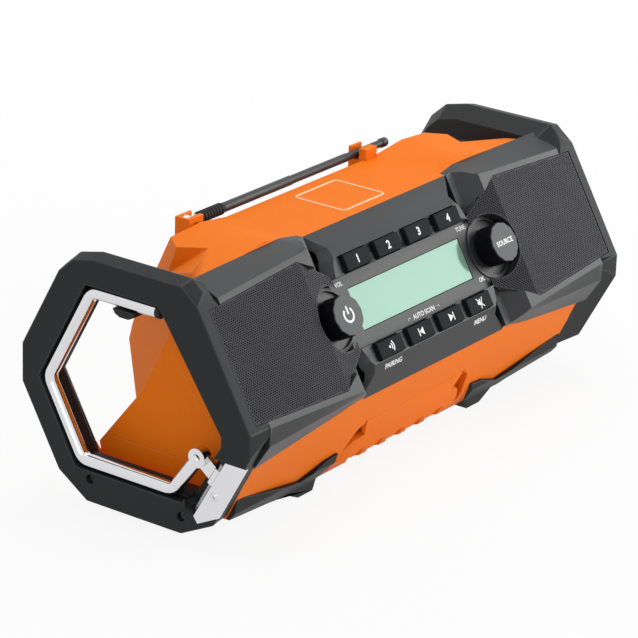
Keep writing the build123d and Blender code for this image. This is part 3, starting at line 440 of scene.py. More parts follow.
class MaterialSheet(NodeSheet):
    """A material with one Principled shader and helpers to feed it."""

    def __init__(self, name: str, **constants: object) -> None:
        """Makes the material; constants are set on the shader's own sockets.

        Args:
            name: name of the material.
            constants: values by socket name, with underscores for spaces.
        """
        self.material = bpy.data.materials.new(name)
        self.material.use_nodes = True
        super().__init__(self.material.node_tree)
        self.shader = self.node("ShaderNodeBsdfPrincipled")
        for label, value in constants.items():
            self.shader.inputs[label.replace("_", " ")].default_value = value
        self.link(self.shader.outputs[0], self.node("ShaderNodeOutputMaterial").inputs["Surface"])

    def effect(self, group: str, **values: object) -> bpy.types.Node:
        """Places a shared effect group, built when it is first used."""
        made = self.tree.nodes.new("ShaderNodeGroup")
        made.node_tree = bpy.data.node_groups.get(group) or GROUPS[group]()
        for label, value in values.items():
            made.inputs[label].default_value = value
        return made

    def tint(self, first: Rgb, second: Rgb, scale: float, detail: float) -> None:
        """Lets the base colour drift between two tints with noise."""
        mix = self.node("ShaderNodeMix", data_type="RGBA")
        self.link(self.noise(scale, detail).outputs["Fac"], mix.inputs["Factor"])
        mix.inputs["A"].default_value = (*first, 1)
        mix.inputs["B"].default_value = (*second, 1)
        self.link(mix.outputs["Result"], self.shader.inputs["Base Color"])

    def bump(self, height: Socket, strength: float, depth: float) -> None:
        """Feeds the shader's normal from a height, depth in millimetres."""
        made = self.node("ShaderNodeBump", Strength=strength, Distance=depth * MM)
        self.link(height, made.inputs["Height"])
        self.link(made.outputs[0], self.shader.inputs["Normal"])


@dataclass(frozen=True)
class Moulding:
    """Injection-moulded plastic or rubber with an eroded texture."""

    colour: Rgb
    roughness: float
    specular: float = 0.5
    grain: float = 1500.0
    depth: float = 0.05
    drift: float = 0.1
    # Strength of the painted highlight on the rounded edges.
    painted_edge_highlight: float = 0.06

    def build(self, name: str) -> Material:
        """Makes the material."""
        sheet = MaterialSheet(name, Specular_IOR_Level=self.specular)
        effect = sheet.effect(
            "moulded_surface", Colour=(*self.colour, 1), Roughness=self.roughness, Grain=self.grain,
            Drift=self.drift, Rub=self.painted_edge_highlight,
        )
        sheet.link(effect.outputs["Colour"], sheet.shader.inputs["Base Color"])
        sheet.link(effect.outputs["Roughness"], sheet.shader.inputs["Roughness"])
        sheet.bump(effect.outputs["Height"], 0.5, self.depth)
        return sheet.material


@dataclass(frozen=True)
class Metal:
    """Bare, plated or coated metal with hairlines."""

    colour: Rgb
    roughness: float
    haze: float = 0.12
    metallic: float = 1.0
    depth: float = 0.004

    def build(self, name: str) -> Material:
        """Makes the material."""
        sheet = MaterialSheet(name, Base_Color=(*self.colour, 1), Metallic=self.metallic)
        effect = sheet.effect("drawn_metal", Roughness=self.roughness, Haze=self.haze)
        sheet.link(effect.outputs["Roughness"], sheet.shader.inputs["Roughness"])
        sheet.bump(effect.outputs["Height"], 0.3, self.depth)
        return sheet.material


@dataclass(frozen=True)
class ReflectiveFilm:
    """Liquid-crystal cell: a mint reflector under a glossy pane, slightly cloudy here and there."""

    colour: Rgb
    cloudy: Rgb
    roughness: float
    metallic: float
    specular: float

    def build(self, name: str) -> Material:
        """Makes the material; its colour drifts between the two tints with slow noise."""
        sheet = MaterialSheet(
            name, Metallic=self.metallic, Roughness=self.roughness, Specular_IOR_Level=self.specular
        )
        sheet.tint(self.colour, self.cloudy, 22.0, 1.0)
        return sheet.material


@dataclass(frozen=True)
class Ink:
    """Pad-printed ink: nearly even, slightly thinner here and there."""

    colour: Rgb
    roughness: float = 0.55

    def build(self, name: str) -> Material:
        """Makes the material; fine noise thins the ink by up to a tenth."""
        sheet = MaterialSheet(name, Roughness=self.roughness)
        sheet.tint(self.colour, tuple(0.9 * c for c in self.colour), 1800.0, 2.0)
        return sheet.material


class FinishShelf:
    """All finishes of the radio; each material is built when it is first asked for."""

    RECIPES: dict[Finish, Moulding | Metal | ReflectiveFilm | Ink] = {
        Finish.ORANGE: Moulding((0.88, 0.188, 0.005), 0.55, specular=0.12),
        Finish.BUMPER: Moulding((0.011, 0.012, 0.013), 0.55, specular=0.22, depth=0.08),
        Finish.FRONT: Moulding((0.023, 0.024, 0.026), 0.42, specular=0.36, depth=0.06),
        Finish.MESH: Metal((0.016, 0.016, 0.018), 0.45, metallic=0.9),
        Finish.KEY: Moulding((0.008, 0.009, 0.010), 0.60, specular=0.08, drift=0.05),
        Finish.KNOB: Moulding((0.003, 0.003, 0.004), 0.60, specular=0.08, drift=0.05),
        Finish.CAP: Moulding((0.066, 0.068, 0.070), 0.50, specular=0.3, drift=0.05),
        Finish.GLASS: ReflectiveFilm((0.195, 0.340, 0.265), (0.215, 0.360, 0.280), 0.10, 0.20, 0.2),
        Finish.PANEL: Moulding((0.02, 0.03, 0.02), 0.4),
        Finish.CHROME: Metal((0.70, 0.70, 0.72), 0.10, haze=0.08),
        Finish.STEEL: Metal((0.34, 0.34, 0.35), 0.35),
        Finish.BOARD: Moulding((0.006, 0.02, 0.01), 0.5, grain=500.0),
        Finish.CONE: Moulding((0.015, 0.015, 0.016), 0.8),
        Finish.MAGNET: Moulding((0.05, 0.05, 0.055), 0.6),
        Finish.PACK: Moulding((0.016, 0.016, 0.017), 0.45, specular=0.4),
        Finish.BRASS: Metal((0.75, 0.52, 0.2), 0.25),
        Finish.RUBBER: Moulding((0.012, 0.012, 0.013), 0.7, specular=0.3, grain=900.0),
        Finish.INK: Ink((0.86, 0.86, 0.85)),
        Finish.CREAM: Ink((0.90, 0.62, 0.36)),
    }

    def __init__(self) -> None:
        """Starts with nothing built."""
        self.built: dict[Finish, Material] = {}

    def material(self, finish: Finish) -> Material:
        """Material of a finish."""
        if finish not in self.built:
            self.built[finish] = self.RECIPES[finish].build(finish.value)
        return self.built[finish]


# ---- workshop
@dataclass
class Workshop:
    """Turns meshes into pieces of the radio and keeps the list of what was made."""

    shelf: FinishShelf = field(default_factory=FinishShelf)
    made: list[bpy.types.Object] = field(default_factory=list)
    least_turn: float = 20.0
    merge: float = 2e-6
    flat_turn: float = 0.1

    def piece(
        self, mesh: Mesh, body: str, finishes: Sequence[Finish], replaces: Sequence[str] = ()
    ) -> bpy.types.Object:
        """Object that rides on a body.

        Args:
            mesh: finished mesh, in place; its name becomes the piece's name.
            body: body that carries the piece.
            finishes: finish of each material index.
            replaces: nodes that the piece stands for.

        Returns:
            The new object.
        """
        made = bpy.data.objects.new(mesh.name, mesh)
        bpy.context.scene.collection.objects.link(made)
        mesh.materials.clear()
        for finish in finishes:
            mesh.materials.append(self.shelf.material(finish))
        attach(made, body)
        if replaces:
            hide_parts(*replaces)
        self.made.append(made)
        LOG.info("made %s on %s with %d faces", mesh.name, body, len(mesh.polygons))
        return made

    def rounded(self, node: str, width: float = 0.7, finish: Finish | None = None) -> bpy.types.Object:
        """Copy of a node with its long edges rounded as a moulding's are, which stands for the node.

        The copy's doubles are merged and its flat faces joined. An edge gets a two-step round where it is
        sharp and where the round has room: the edge, the edges that meet its ends and the mean width of
        both its faces are all large against the round. The other sharp edges stay sharp. The new faces
        carry the value 1 in the face attribute edge, which the moulded finishes read to paint a highlight
        there.

        Args:
            node: name of the node.
            width: width of the round in millimetres, 0 for none.
            finish: finish, or None for the node's own slot.

        Returns:
            The new object.
        """
        source = NODES[node]
        slot = Finish(source.data.materials[0].name)
        mesh = bpy.data.meshes.new(node + "_dressed")
        work = bmesh.new()
        work.from_mesh(source.data)
        bmesh.ops.remove_doubles(work, verts=work.verts, dist=self.merge)
        flat = math.radians(self.flat_turn)
        bmesh.ops.dissolve_limit(work, angle_limit=flat, verts=work.verts, edges=work.edges)
        edge_layer = work.faces.layers.float.new("edge")
        for face in work.faces:
            face.smooth = True
        sharp = [edge for edge in work.edges if edge.calc_face_angle(0.0) > math.radians(self.least_turn)]
        for edge in sharp:
            edge.smooth = False
        roomy = [edge for edge in sharp if width and self.has_room(edge, width * MM)]
        for edge in roomy:
            edge.smooth = True
        rounds = bmesh.ops.bevel(
            work, geom=roomy, offset=width * MM / 2, offset_type="OFFSET", segments=2, profile=0.5,
            affect="EDGES", clamp_overlap=False,
        )
        # Marks the faces of the rounds, where the moulded finishes paint a highlight.
        for face in rounds["faces"]:
            face[edge_layer] = 1.0
        work.to_mesh(mesh)
        work.free()
        made = self.piece(mesh, source["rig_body"], [finish or slot], [node])
        weighted = made.modifiers.new("flat_faces_stay_flat", "WEIGHTED_NORMAL")
        weighted.keep_sharp = True
        return made

    @staticmethod
    def has_room(edge: bmesh.types.BMEdge, width: float) -> bool:
        """Whether an edge is long, and its faces and the edges at its ends large enough, for a round."""
        length = edge.calc_length()
        return (
            length > 3.0 * width
            and min(face.calc_area() for face in edge.link_faces) > 2.2 * width * length
            and min(other.calc_length() for end in edge.verts for other in end.link_edges) > 1.3 * width
        )

    def dress_nodes(self) -> None:
        """Gives every node that still shows the finish of its slot."""
        for name, node in sorted(NODES.items()):
            if not node.hide_render:
                finish = Finish(node.data.materials[0].name)
                node.data.materials[0] = self.shelf.material(finish)
                LOG.info("kept %s in %s", name, finish.value)


# ---- the case and its loops
@dataclass
class Shells:
    """Mouldings that make the outside: shells, loops, frames, panel, rails and feet."""

    soft_edge: float = 1.1
    crisp_edge: float = 0.7
    loop_edge: float = 1.6

    def build(self, shop: Workshop) -> None:
        """Makes the rounded copies of all outer mouldings."""
        for node in ("rear_shell", "lower_shell"):
            shop.rounded(node, self.soft_edge)
        for side in ("left", "right"):
            shop.rounded(side + "_loop", self.loop_edge)
            shop.rounded(side + "_speaker_frame", self.crisp_edge)
            shop.rounded(side + "_base_rail", self.soft_edge)
        shop.rounded("control_panel", self.crisp_edge)
        shop.rounded("rear_feet", self.soft_edge)
        for node in ("antenna_clip", "antenna_bracket", "hook_clip"):
            shop.rounded(node, self.crisp_edge)


@dataclass
class Nameplate:
    """Blank nameplate on the top: a cream ridge round an empty field."""

    half_width: float = 21.7
    middle_x: float = 0.55
    middle_y: float = -2.6
    half_depth: float = 19.2
    corner: float = 3.0
    ridge: float = 1.5
    rise: float = 0.55
    top_z: float = 72.3

    def outline(self, grow: float, steps: int = 8) -> np.ndarray:
        """Rounded rectangle grown by grow: quarter circles about the four corner centres."""
        quarter = np.linspace(0.0, math.pi / 2, steps)
        angle = (quarter + np.array([0, 1, 2, 3])[:, None] * math.pi / 2).ravel()
        reach = np.array([self.half_width, self.half_depth]) - self.corner
        way = np.repeat(np.array([[1, 1], [-1, 1], [-1, -1], [1, -1]]), steps, axis=0)
        return way * reach + (self.corner + grow) * np.stack([np.cos(angle), np.sin(angle)], axis=-1)

    def build(self, shop: Workshop) -> None:
        """The ridge is a half-round profile carried round the outline: out by cos t, up by sin t."""
        turn = np.linspace(0.0, math.pi, 7)
        rows = [self.outline(self.ridge / 2 * math.cos(t)) for t in turn]
        xy = np.stack(rows)
        z = self.top_z - 0.05 + (self.rise + 0.05) * np.sin(turn)[:, None]
        x, y = xy[..., 0] + self.middle_x, xy[..., 1] + self.middle_y
        points = ring_point(x, y, np.broadcast_to(z, x.shape))
        mesh = make_mesh("blank_nameplate_ridge", points, grid_quads(*xy.shape[:2], close_columns=True), 60.0)
        shop.piece(mesh, "case", [Finish.CREAM])


# ---- speaker grilles
@dataclass
class PerforatedGrille:
    """Pressed sheet with staggered holes: a flat field and a slope that runs down to the knob's collar."""

    pitch: float = 2.1
    row: float = 1.25
    hole: float = 0.52
    thickness: float = 0.9
    inner_x: float = 72.4
    fold_x: float = 103.0
    corner_x: float = 104.9
    outer_x: float = 191.6
    outer_v: float = 35.6
    corner_v: float = 41.1
    inner_v: float = 23.9
    field_w: float = -0.33
    foot_w: float = -6.95
    collar_x: float = 84.4
    collar_radius: float = 20.75
    margin: float = 0.35
    reach_in: float = 1.2

    def height(self, x: np.ndarray) -> np.ndarray:
        """Level of the sheet: field_w outside the fold, falling evenly to foot_w at inner_x."""
        fall = np.clip((self.fold_x - x) / (self.fold_x - self.inner_x), 0.0, None)
        return self.field_w + (self.foot_w - self.field_w) * fall

    def half_height(self, x: np.ndarray) -> np.ndarray:
        """Half the sheet's width up the slope at x, in line between its corners."""
        corners = [self.inner_x, self.corner_x, self.outer_x], [self.inner_v, self.corner_v, self.outer_v]
        return np.interp(x, *corners)

    def pull_in(self, x: np.ndarray, v: np.ndarray) -> tuple[np.ndarray, np.ndarray]:
        """Moves points outside the outline onto it, and points over the collar out to its rim."""
        x = np.clip(x, self.inner_x, self.outer_x)
        v = np.clip(v, -self.half_height(x), self.half_height(x))
        away = np.hypot(x - self.collar_x, v)
        push = np.where(away < self.collar_radius, self.collar_radius / np.maximum(away, 1e-6), 1.0)
        x, v = self.collar_x + (x - self.collar_x) * push, v * push
        x = np.clip(x, self.inner_x, self.outer_x)
        return x, np.clip(v, -self.half_height(x), self.half_height(x))

    def build(self, shop: Workshop, side: str) -> None:
        """Makes one grille.

        The holes' cells are the hexagons nearest to the points of a staggered lattice. Each cell is a
        ring from its hexagon to a six-sided hole, the hole's wall and its dark felt floor. Corners
        outside the outline are drawn in onto it, and cells too near the outline have no hole.
        """
        mirror = -1.0 if side == "left" else 1.0
        columns = np.arange(int((self.outer_x - self.inner_x) / self.pitch) + 3) - 1
        rows = np.arange(-int(self.corner_v / self.row) - 1, int(self.corner_v / self.row) + 2)
        i, j = np.meshgrid(columns, rows, indexing="ij")
        x = (self.inner_x + (i + 0.5 * (j % 2)) * self.pitch).ravel()
        v = (j * self.row).ravel()
        tall = (self.pitch ** 2 / 4 + self.row ** 2) / (2 * self.row)
        half, low = self.pitch / 2, self.row - tall
        corner_x = np.array([half, 0.0, -half, -half, 0.0, half])
        corner_v = np.array([low, tall, low, -low, -tall, -low])
        near_x, near_v = self.pull_in(x, v)
        shift = np.hypot(near_x - x, near_v - v)
        keep = shift < self.reach_in
        x, v = x[keep], v[keep]
        outer_x, outer_v = self.pull_in(x[:, None] + corner_x, v[:, None] + corner_v)
        inside_x, inside_v = self.pull_in(x, v)
        angle = np.radians(30.0 + 60.0 * np.arange(6))
        edge_room = self.hole + self.margin
        ok = (
            (np.abs(v) < self.half_height(x) - edge_room)
            & (x < self.outer_x - edge_room)
            & (x > self.inner_x + edge_room)
            & (np.hypot(x - self.collar_x, v) > self.collar_radius + edge_room)
        )
        radius = np.where(ok, self.hole, 0.0)[:, None]
        hole_x = np.where(ok, x, inside_x)[:, None] + radius * np.cos(angle)
        hole_v = np.where(ok, v, inside_v)[:, None] + radius * np.sin(angle)
        layers = [
            PANEL.place(mirror * outer_x, outer_v, self.height(outer_x)),
            PANEL.place(mirror * hole_x, hole_v, self.height(hole_x)),
            PANEL.place(mirror * hole_x, hole_v, self.height(hole_x) - self.thickness),
        ]
        points = np.stack(layers, axis=1)
        base = np.arange(len(x))[:, None, None] * points[0, ..., 0].size
        ring = grid_quads(3, 6, close_columns=True)
        plate = (base + ring[None, :6]).reshape(-1, 4)
        wall = (base + ring[None, 6:]).reshape(-1, 4)[np.repeat(ok, 6)]
        floor = (base[:, 0] + 12 + np.arange(6))[ok]
        mesh = bpy.data.meshes.new(side + "_perforated_sheet")
        faces = plate.tolist() + wall.tolist() + floor.tolist()
        mesh.from_pydata(points.reshape(-1, 3), [], faces)
        dark = np.zeros(len(faces), np.int32)
        dark[len(plate):] = 1
        mesh.polygons.foreach_set("material_index", dark)
        work = bmesh.new()
        work.from_mesh(mesh)
        bmesh.ops.remove_doubles(work, verts=work.verts, dist=shop.merge)
        bmesh.ops.dissolve_degenerate(work, edges=work.edges, dist=1e-6)
        if mirror > 0:
            bmesh.ops.reverse_faces(work, faces=work.faces)
        work.to_mesh(mesh)
        work.free()
        made = shop.piece(mesh, "case", [Finish.MESH, Finish.CONE], [side + "_grille"])
        normals = np.zeros(len(mesh.polygons) * 3, np.float32)
        mesh.polygons.foreach_get("normal", normals)
        if (normals.reshape(-1, 3) @ PANEL.out).sum() < 0:
            made.data.flip_normals()


# ---- keys, knobs and display
@dataclass
class Controls:
    """Keys, knobs with their grey faces, and the display window."""

    key_names: tuple[str, ...] = ("one", "two", "three", "four", "pairing", "back", "next", "mute")
    knob_x: float = 84.4
    face_w: float = 5.1
    face_radius: float = 12.7
    face_depth: float = 0.9
    chamfer: float = 0.25
    lobes: int = 12
    lobe_depth: float = 0.018

    def build(self, shop: Workshop) -> None:
        """Makes the rounded copies of the controls and the knobs' grey faces."""
        for name in self.key_names:
            shop.rounded("key_" + name, 0.0)
        for side, x in (("volume", -self.knob_x), ("tuning", self.knob_x)):
            shop.rounded(side + "_knob", 0.5)
            self.knob_face(shop, side, x)
        shop.rounded("display_window", 0.5)

    def knob_face(self, shop: Workshop, side: str, x: float) -> None:
        """Grey face of one knob: a lobed disc with chamfered rims that covers the knob's end."""
        inner, outer, low = self.face_radius - self.chamfer, self.face_radius, -self.face_depth
        profile = [
            (0.0, low), (inner, low), (outer, low + self.chamfer), (outer, -self.chamfer), (inner, 0.0),
            (0.0, 0.0),
        ]
        local = lathe(np.array(profile), 6 * self.lobes, self.lobes, self.lobe_depth)
        points = panel_spot(x, 0.0, self.face_w).place(local[..., 0], local[..., 1], local[..., 2])
        mesh = make_mesh(side + "_face", points, grid_quads(*local.shape[:2], close_columns=True), 30.0)
        shop.piece(mesh, side + "_push", [Finish.CAP], [side + "_cap"])


class Print(Enum):
    """What is printed at a place: a word, or one of the generic signs."""

    WORD = "word"
    POWER = "power"
    BACK = "back"
    NEXT = "next"
    MUTE = "mute"
    WAVES = "waves"
    SCAN_LEFT = "scan_left"
    SCAN_RIGHT = "scan_right"


@dataclass(frozen=True)
class Legend:
    """One print: what it is, where, how high in millimetres and what it rides on."""

    name: str
    kind: Print
    spot: Spot
    size: float
    body: str = "case"
    words: str = ""


def ribbon(points: np.ndarray, width: float) -> tuple[np.ndarray, np.ndarray]:
    """Flat band of one width along a path: each point moved half the width to both sides.

    Returns:
        Points (count * 2, 2) and quads.
    """
    along = np.gradient(points, axis=0)
    along /= np.linalg.norm(along, axis=1, keepdims=True)
    side = np.stack([-along[:, 1], along[:, 0]], axis=-1) * width / 2
    return np.stack([points + side, points - side], axis=1).reshape(-1, 2), grid_quads(len(points), 2)


def arc(middle: tuple[float, float], radius: float, start: float, end: float, steps: int = 24) -> np.ndarray:
    """Points of an arc from start to end, in degrees."""
    angle = np.radians(np.linspace(start, end, steps))
    return np.array(middle) + radius * np.stack([np.cos(angle), np.sin(angle)], axis=-1)


@dataclass
class Legends:
    """White prints of the panel, the keys and the knob faces.

    A row of flat_words is name, word, x, v and size; a row of slope_words is name, word, x, v and w.
    """

    lift: float = 0.04
    stroke: float = 0.15
    bolder: float = 0.03
    key_pitch: float = 32.2
    upper_keys: tuple[float, float] = (28.4, -1.9)
    lower_keys: tuple[float, float] = (-28.8, -3.3)
    signs: tuple[Print, ...] = (Print.WAVES, Print.BACK, Print.NEXT, Print.MUTE)
    digit: float = 5.4
    sign: float = 6.2
    flat_w: float = -9.4
    flat_words: tuple[tuple[str, str, float, float, float], ...] = (
        ("volume", "VOL", -66.0, 18.2, 3.0), ("tune", "TUNE", 65.4, 18.6, 3.0),
        ("ok", "OK", 66.6, -16.4, 3.0), ("auto_scan", "AUTO SCAN", 0.0, -19.4, 3.1),
    )
    scan_x: float = 15.6
    scan_v: float = -19.5
    scan: float = 1.7
    slope_words: tuple[tuple[str, str, float, float, float], ...] = (
        ("pairing_word", "PAIRING", -46.1, -39.0, -8.53), ("menu", "MENU", 48.6, -39.3, -8.73),
    )
    slope_word: float = 3.6
    lean: float = math.atan2(11.0, 16.5)
    source: float = 3.5
    power: float = 10.2

    def shapes(self, kind: Print) -> list[tuple[np.ndarray, np.ndarray]]:
        """Flat outlines of a sign that is one unit high, as pairs of points and faces."""
        line = self.stroke
        if kind is Print.POWER:
            stem = ribbon(np.array([[0, 0.05], [0, 0.55]]), line)
            return [ribbon(arc((0, 0), 0.42, 128, 412, 40), line), stem]
        if kind in (Print.BACK, Print.NEXT):
            way = -1.0 if kind is Print.BACK else 1.0
            head = np.array([[-0.35, -0.42], [0.35, 0.0], [-0.35, 0.42]]) * [way, 1]
            bar = ribbon(np.array([[0.42, -0.42], [0.42, 0.42]]) * [way, 1], line)
            return [(head, np.array([[0, 1, 2]])), bar]
        if kind is Print.MUTE:
            lower = np.array([[-0.42, -0.16], [-0.2, -0.16], [0.12, -0.45]])
            horn = np.concatenate([lower, lower[::-1] * [1, -1]])
            slash = ribbon(np.array([[-0.5, 0.5], [0.55, -0.5]]), line * 0.8)
            cross = ribbon(np.array([[0.5, 0.5], [-0.05, -0.62]]), line * 0.8)
            return [(horn, np.array([[0, 1, 4, 5], [1, 2, 3, 4]], object)), slash, cross]
        if kind is Print.WAVES:
            dot = arc((-0.25, 0), 0.14, 0, 345, 20)
            rings = [ribbon(arc((-0.25, 0), far, -48, 48, 16), line) for far in (0.38, 0.66)]
            return [(dot, [list(range(len(dot)))]), *rings]
        way = -1.0 if kind is Print.SCAN_LEFT else 1.0
        stem = ribbon(np.array([[-0.8, 0.25], [0.45, 0.25], [0.45, -0.1]]) * [way, 1], line * 1.2)
        head = np.array([[0.45, -0.5], [0.2, -0.08], [0.7, -0.08]]) * [way, 1]
        return [stem, (head, np.array([[0, 1, 2]]))]

    def word_shape(self, legend: Legend) -> tuple[np.ndarray, list[list[int]]]:
        """Flat mesh of a word set in the built-in type, centred and made a little bolder."""
        curve = bpy.data.curves.new(legend.name + "_type", "FONT")
        curve.body = legend.words
        curve.align_x, curve.align_y = "CENTER", "CENTER"
        curve.offset = self.bolder
        curve.resolution_u = 3
        holder = bpy.data.objects.new(legend.name + "_type", curve)
        flat = bpy.data.meshes.new_from_object(holder)
        points = np.zeros(len(flat.vertices) * 3)
        flat.vertices.foreach_get("co", points)
        faces = [list(polygon.vertices) for polygon in flat.polygons]
        bpy.data.objects.remove(holder)
        bpy.data.curves.remove(curve)
        bpy.data.meshes.remove(flat)
        plan = points.reshape(-1, 3)[:, :2]
        tall = np.ptp(plan[:, 1])
        centre = (plan.max(0) + plan.min(0)) / 2
        return (plan - centre) / tall, faces

    def build(self, shop: Workshop, legend: Legend) -> None:
        """Prints one legend: its outlines scaled to size and lifted off the place by a film of ink."""
        shapes = [self.word_shape(legend)] if legend.kind is Print.WORD else self.shapes(legend.kind)
        points, faces, start = [], [], 0
        for plan, corners in shapes:
            points.append(plan)
            faces.extend([[int(c) + start for c in face] for face in corners])
            start += len(plan)
        plan = np.concatenate(points) * legend.size
        mesh = bpy.data.meshes.new("print_" + legend.name)
        mesh.from_pydata(legend.spot.place(plan[:, 0], plan[:, 1], self.lift), [], faces)
        outward = np.cross(legend.spot.right, legend.spot.up)
        work = bmesh.new()
        work.from_mesh(mesh)
        bmesh.ops.reverse_faces(work, faces=[f for f in work.faces if f.normal.dot(Vector(outward)) < 0])
        work.to_mesh(mesh)
        work.free()
        shop.piece(mesh, legend.body, [Finish.INK])

    def everything(self) -> list[Legend]:
        """Every print of the radio: digits and signs on the keys, words beside them, knob faces."""
        key_x = [self.key_pitch * (i - 1.5) for i in range(4)]
        made = []
        for x, button, digit in zip(key_x, ("one", "two", "three", "four"), "1234"):
            spot = panel_spot(x, *self.upper_keys)
            made.append(Legend("key_" + digit, Print.WORD, spot, self.digit, "button_" + button, digit))
        for x, button, sign in zip(key_x, ("pairing", "back", "next", "mute"), self.signs):
            spot = panel_spot(x, *self.lower_keys)
            made.append(Legend("key_" + button, sign, spot, self.sign, "button_" + button))
        for name, word, x, v, size in self.flat_words:
            made.append(Legend(name, Print.WORD, panel_spot(x, v, self.flat_w), size, words=word))
        for sign, x in ((Print.SCAN_LEFT, -self.scan_x), (Print.SCAN_RIGHT, self.scan_x)):
            made.append(Legend(sign.value, sign, panel_spot(x, self.scan_v, self.flat_w), self.scan))
        for name, word, x, v, w in self.slope_words:
            made.append(Legend(name, Print.WORD, panel_spot(x, v, w, self.lean), self.slope_word, words=word))
        source, power = (panel_spot(x, 0.0, Controls.face_w) for x in (Controls.knob_x, -Controls.knob_x))
        made.append(Legend("source", Print.WORD, source, self.source, "tuning_push", "SOURCE"))
        made.append(Legend("power", Print.POWER, power, self.power, "volume_push"))
        return made


# ---- hook, antenna and screws
@dataclass
class Hook:
    """Bent chrome rod with its rubber tip, forged eye and bolted plate."""

    x: float = -195.5
    radius: float = 4.2
    bend: float = 9.0
    corners: tuple[tuple[float, float], ...] = (
        (-16.5, 56.0), (33.0, 56.0), (66.0, -6.0), (39.3, -53.0), (-29.5, -53.0), (-48.8, -26.6),
    )
    tip: float = 3.6
    tip_dome: float = 1.5
    tip_grow: float = 0.05

    def build(self, shop: Workshop) -> None:
        """Makes the rod along its rounded path, the tip beyond its free end, the eye and the plate."""
        path = rounded_path(self.corners, self.bend)
        bar = flat_tube("hook_rod_bar", path, self.x, self.radius)
        shop.piece(bar, "hook", [Finish.CHROME], ["hook_rod"])
        start = path[0]
        out = (path[0] - path[1]) / np.linalg.norm(path[0] - path[1])
        tip = np.array([start, start + out * self.tip / 2, start + out * (self.tip - self.tip_dome)])
        cap = flat_tube("hook_rod_tip", tip, self.x, self.radius + self.tip_grow)
        shop.piece(cap, "hook", [Finish.RUBBER])
        shop.rounded("hook_eye", 0.5)
        shop.rounded("hook_plate", 0.5)


@dataclass(frozen=True)
class ScrewSet:
    """Like screws of one place: the node they stand for, where their heads lie, and their size."""

    name: str
    node: str
    finish: Finish
    spots: tuple[Spot, ...]
    thickness: float
    shank: float


def screw_spot(x: float, y: float, z: float, right: Rgb) -> Spot:
    """Place of a screw head at ring coordinates, upright, facing right x Z."""
    return Spot(tuple(ring_point(x, y, z) / MM), right, (0, 0, 1))


@dataclass
class Screws:
    """Screw heads with a six-lobed drive, sunk in the mouldings."""

    head: float = 2.9
    chamfer: float = 0.35
    drive: float = 1.45
    drive_depth: float = 1.3
    drive_taper: float = 0.9
    lobe_depth: float = 0.14
    loop_x: float = 196.8
    loop_yz: tuple[tuple[float, float], ...] = ((30.5, -62.5), (-39.0, -66.5))
    rear_x: float = 100.0
    rear_y: float = 50.2
    rear_z: tuple[float, float] = (8.0, -24.0)
    plate: tuple[float, float, float] = (-200.0, -63.5, -46.5)

    def sets(self) -> list[ScrewSet]:
        """The screws of the loops, of the rear and of the hook's plate."""
        right = [screw_spot(self.loop_x, y, z, (0, 1, 0)) for y, z in self.loop_yz]
        left = [screw_spot(-self.loop_x, y, z, (0, -1, 0)) for y, z in self.loop_yz]
        rear_places = [(x, self.rear_y, z) for x in (-self.rear_x, self.rear_x) for z in self.rear_z]
        rear = [screw_spot(*place, (-1, 0, 0)) for place in rear_places]
        plate = [screw_spot(*self.plate, (0, -1, 0))]
        return [
            ScrewSet("loop_screw_set", "loop_screws", Finish.STEEL, (*right, *left), 2.0, 9.0),
            ScrewSet("rear_screw_set", "case_screws", Finish.STEEL, tuple(rear), 1.8, 14.0),
            ScrewSet("plate_screw_set", "hook_screw", Finish.CHROME, tuple(plate), 1.9, 8.0),
        ]

    def heads(self, screws: ScrewSet) -> Mesh:
        """Chamfered discs whose tops fall into the lobed drive, each on a plain shank of half its width."""
        low = -screws.thickness
        profile = np.array([
            (0.0, low - screws.shank), (self.head / 2, low - screws.shank), (self.head / 2, low),
            (self.head, low), (self.head, -self.chamfer), (self.head - self.chamfer, 0.0), (self.drive, 0.0),
            (self.drive * self.drive_taper, -self.drive_depth), (0.0, -self.drive_depth),
        ])
        lobed = self.lobe_depth * np.isin(np.arange(len(profile)), (6, 7))
        local = lathe(profile, 36, 6, lobed)
        quads = grid_quads(*local.shape[:2], close_columns=True)
        points = np.stack([spot.place(*np.moveaxis(local, -1, 0)) for spot in screws.spots])
        faces = (quads + np.arange(len(points))[:, None, None] * local[..., 0].size).reshape(-1, 4)
        return make_mesh(screws.name, points, faces, 30.0)

    def build(self, shop: Workshop) -> None:
        """Makes every set of screws."""
        for screws in self.sets():
            shop.piece(self.heads(screws), "case", [screws.finish], [screws.node])


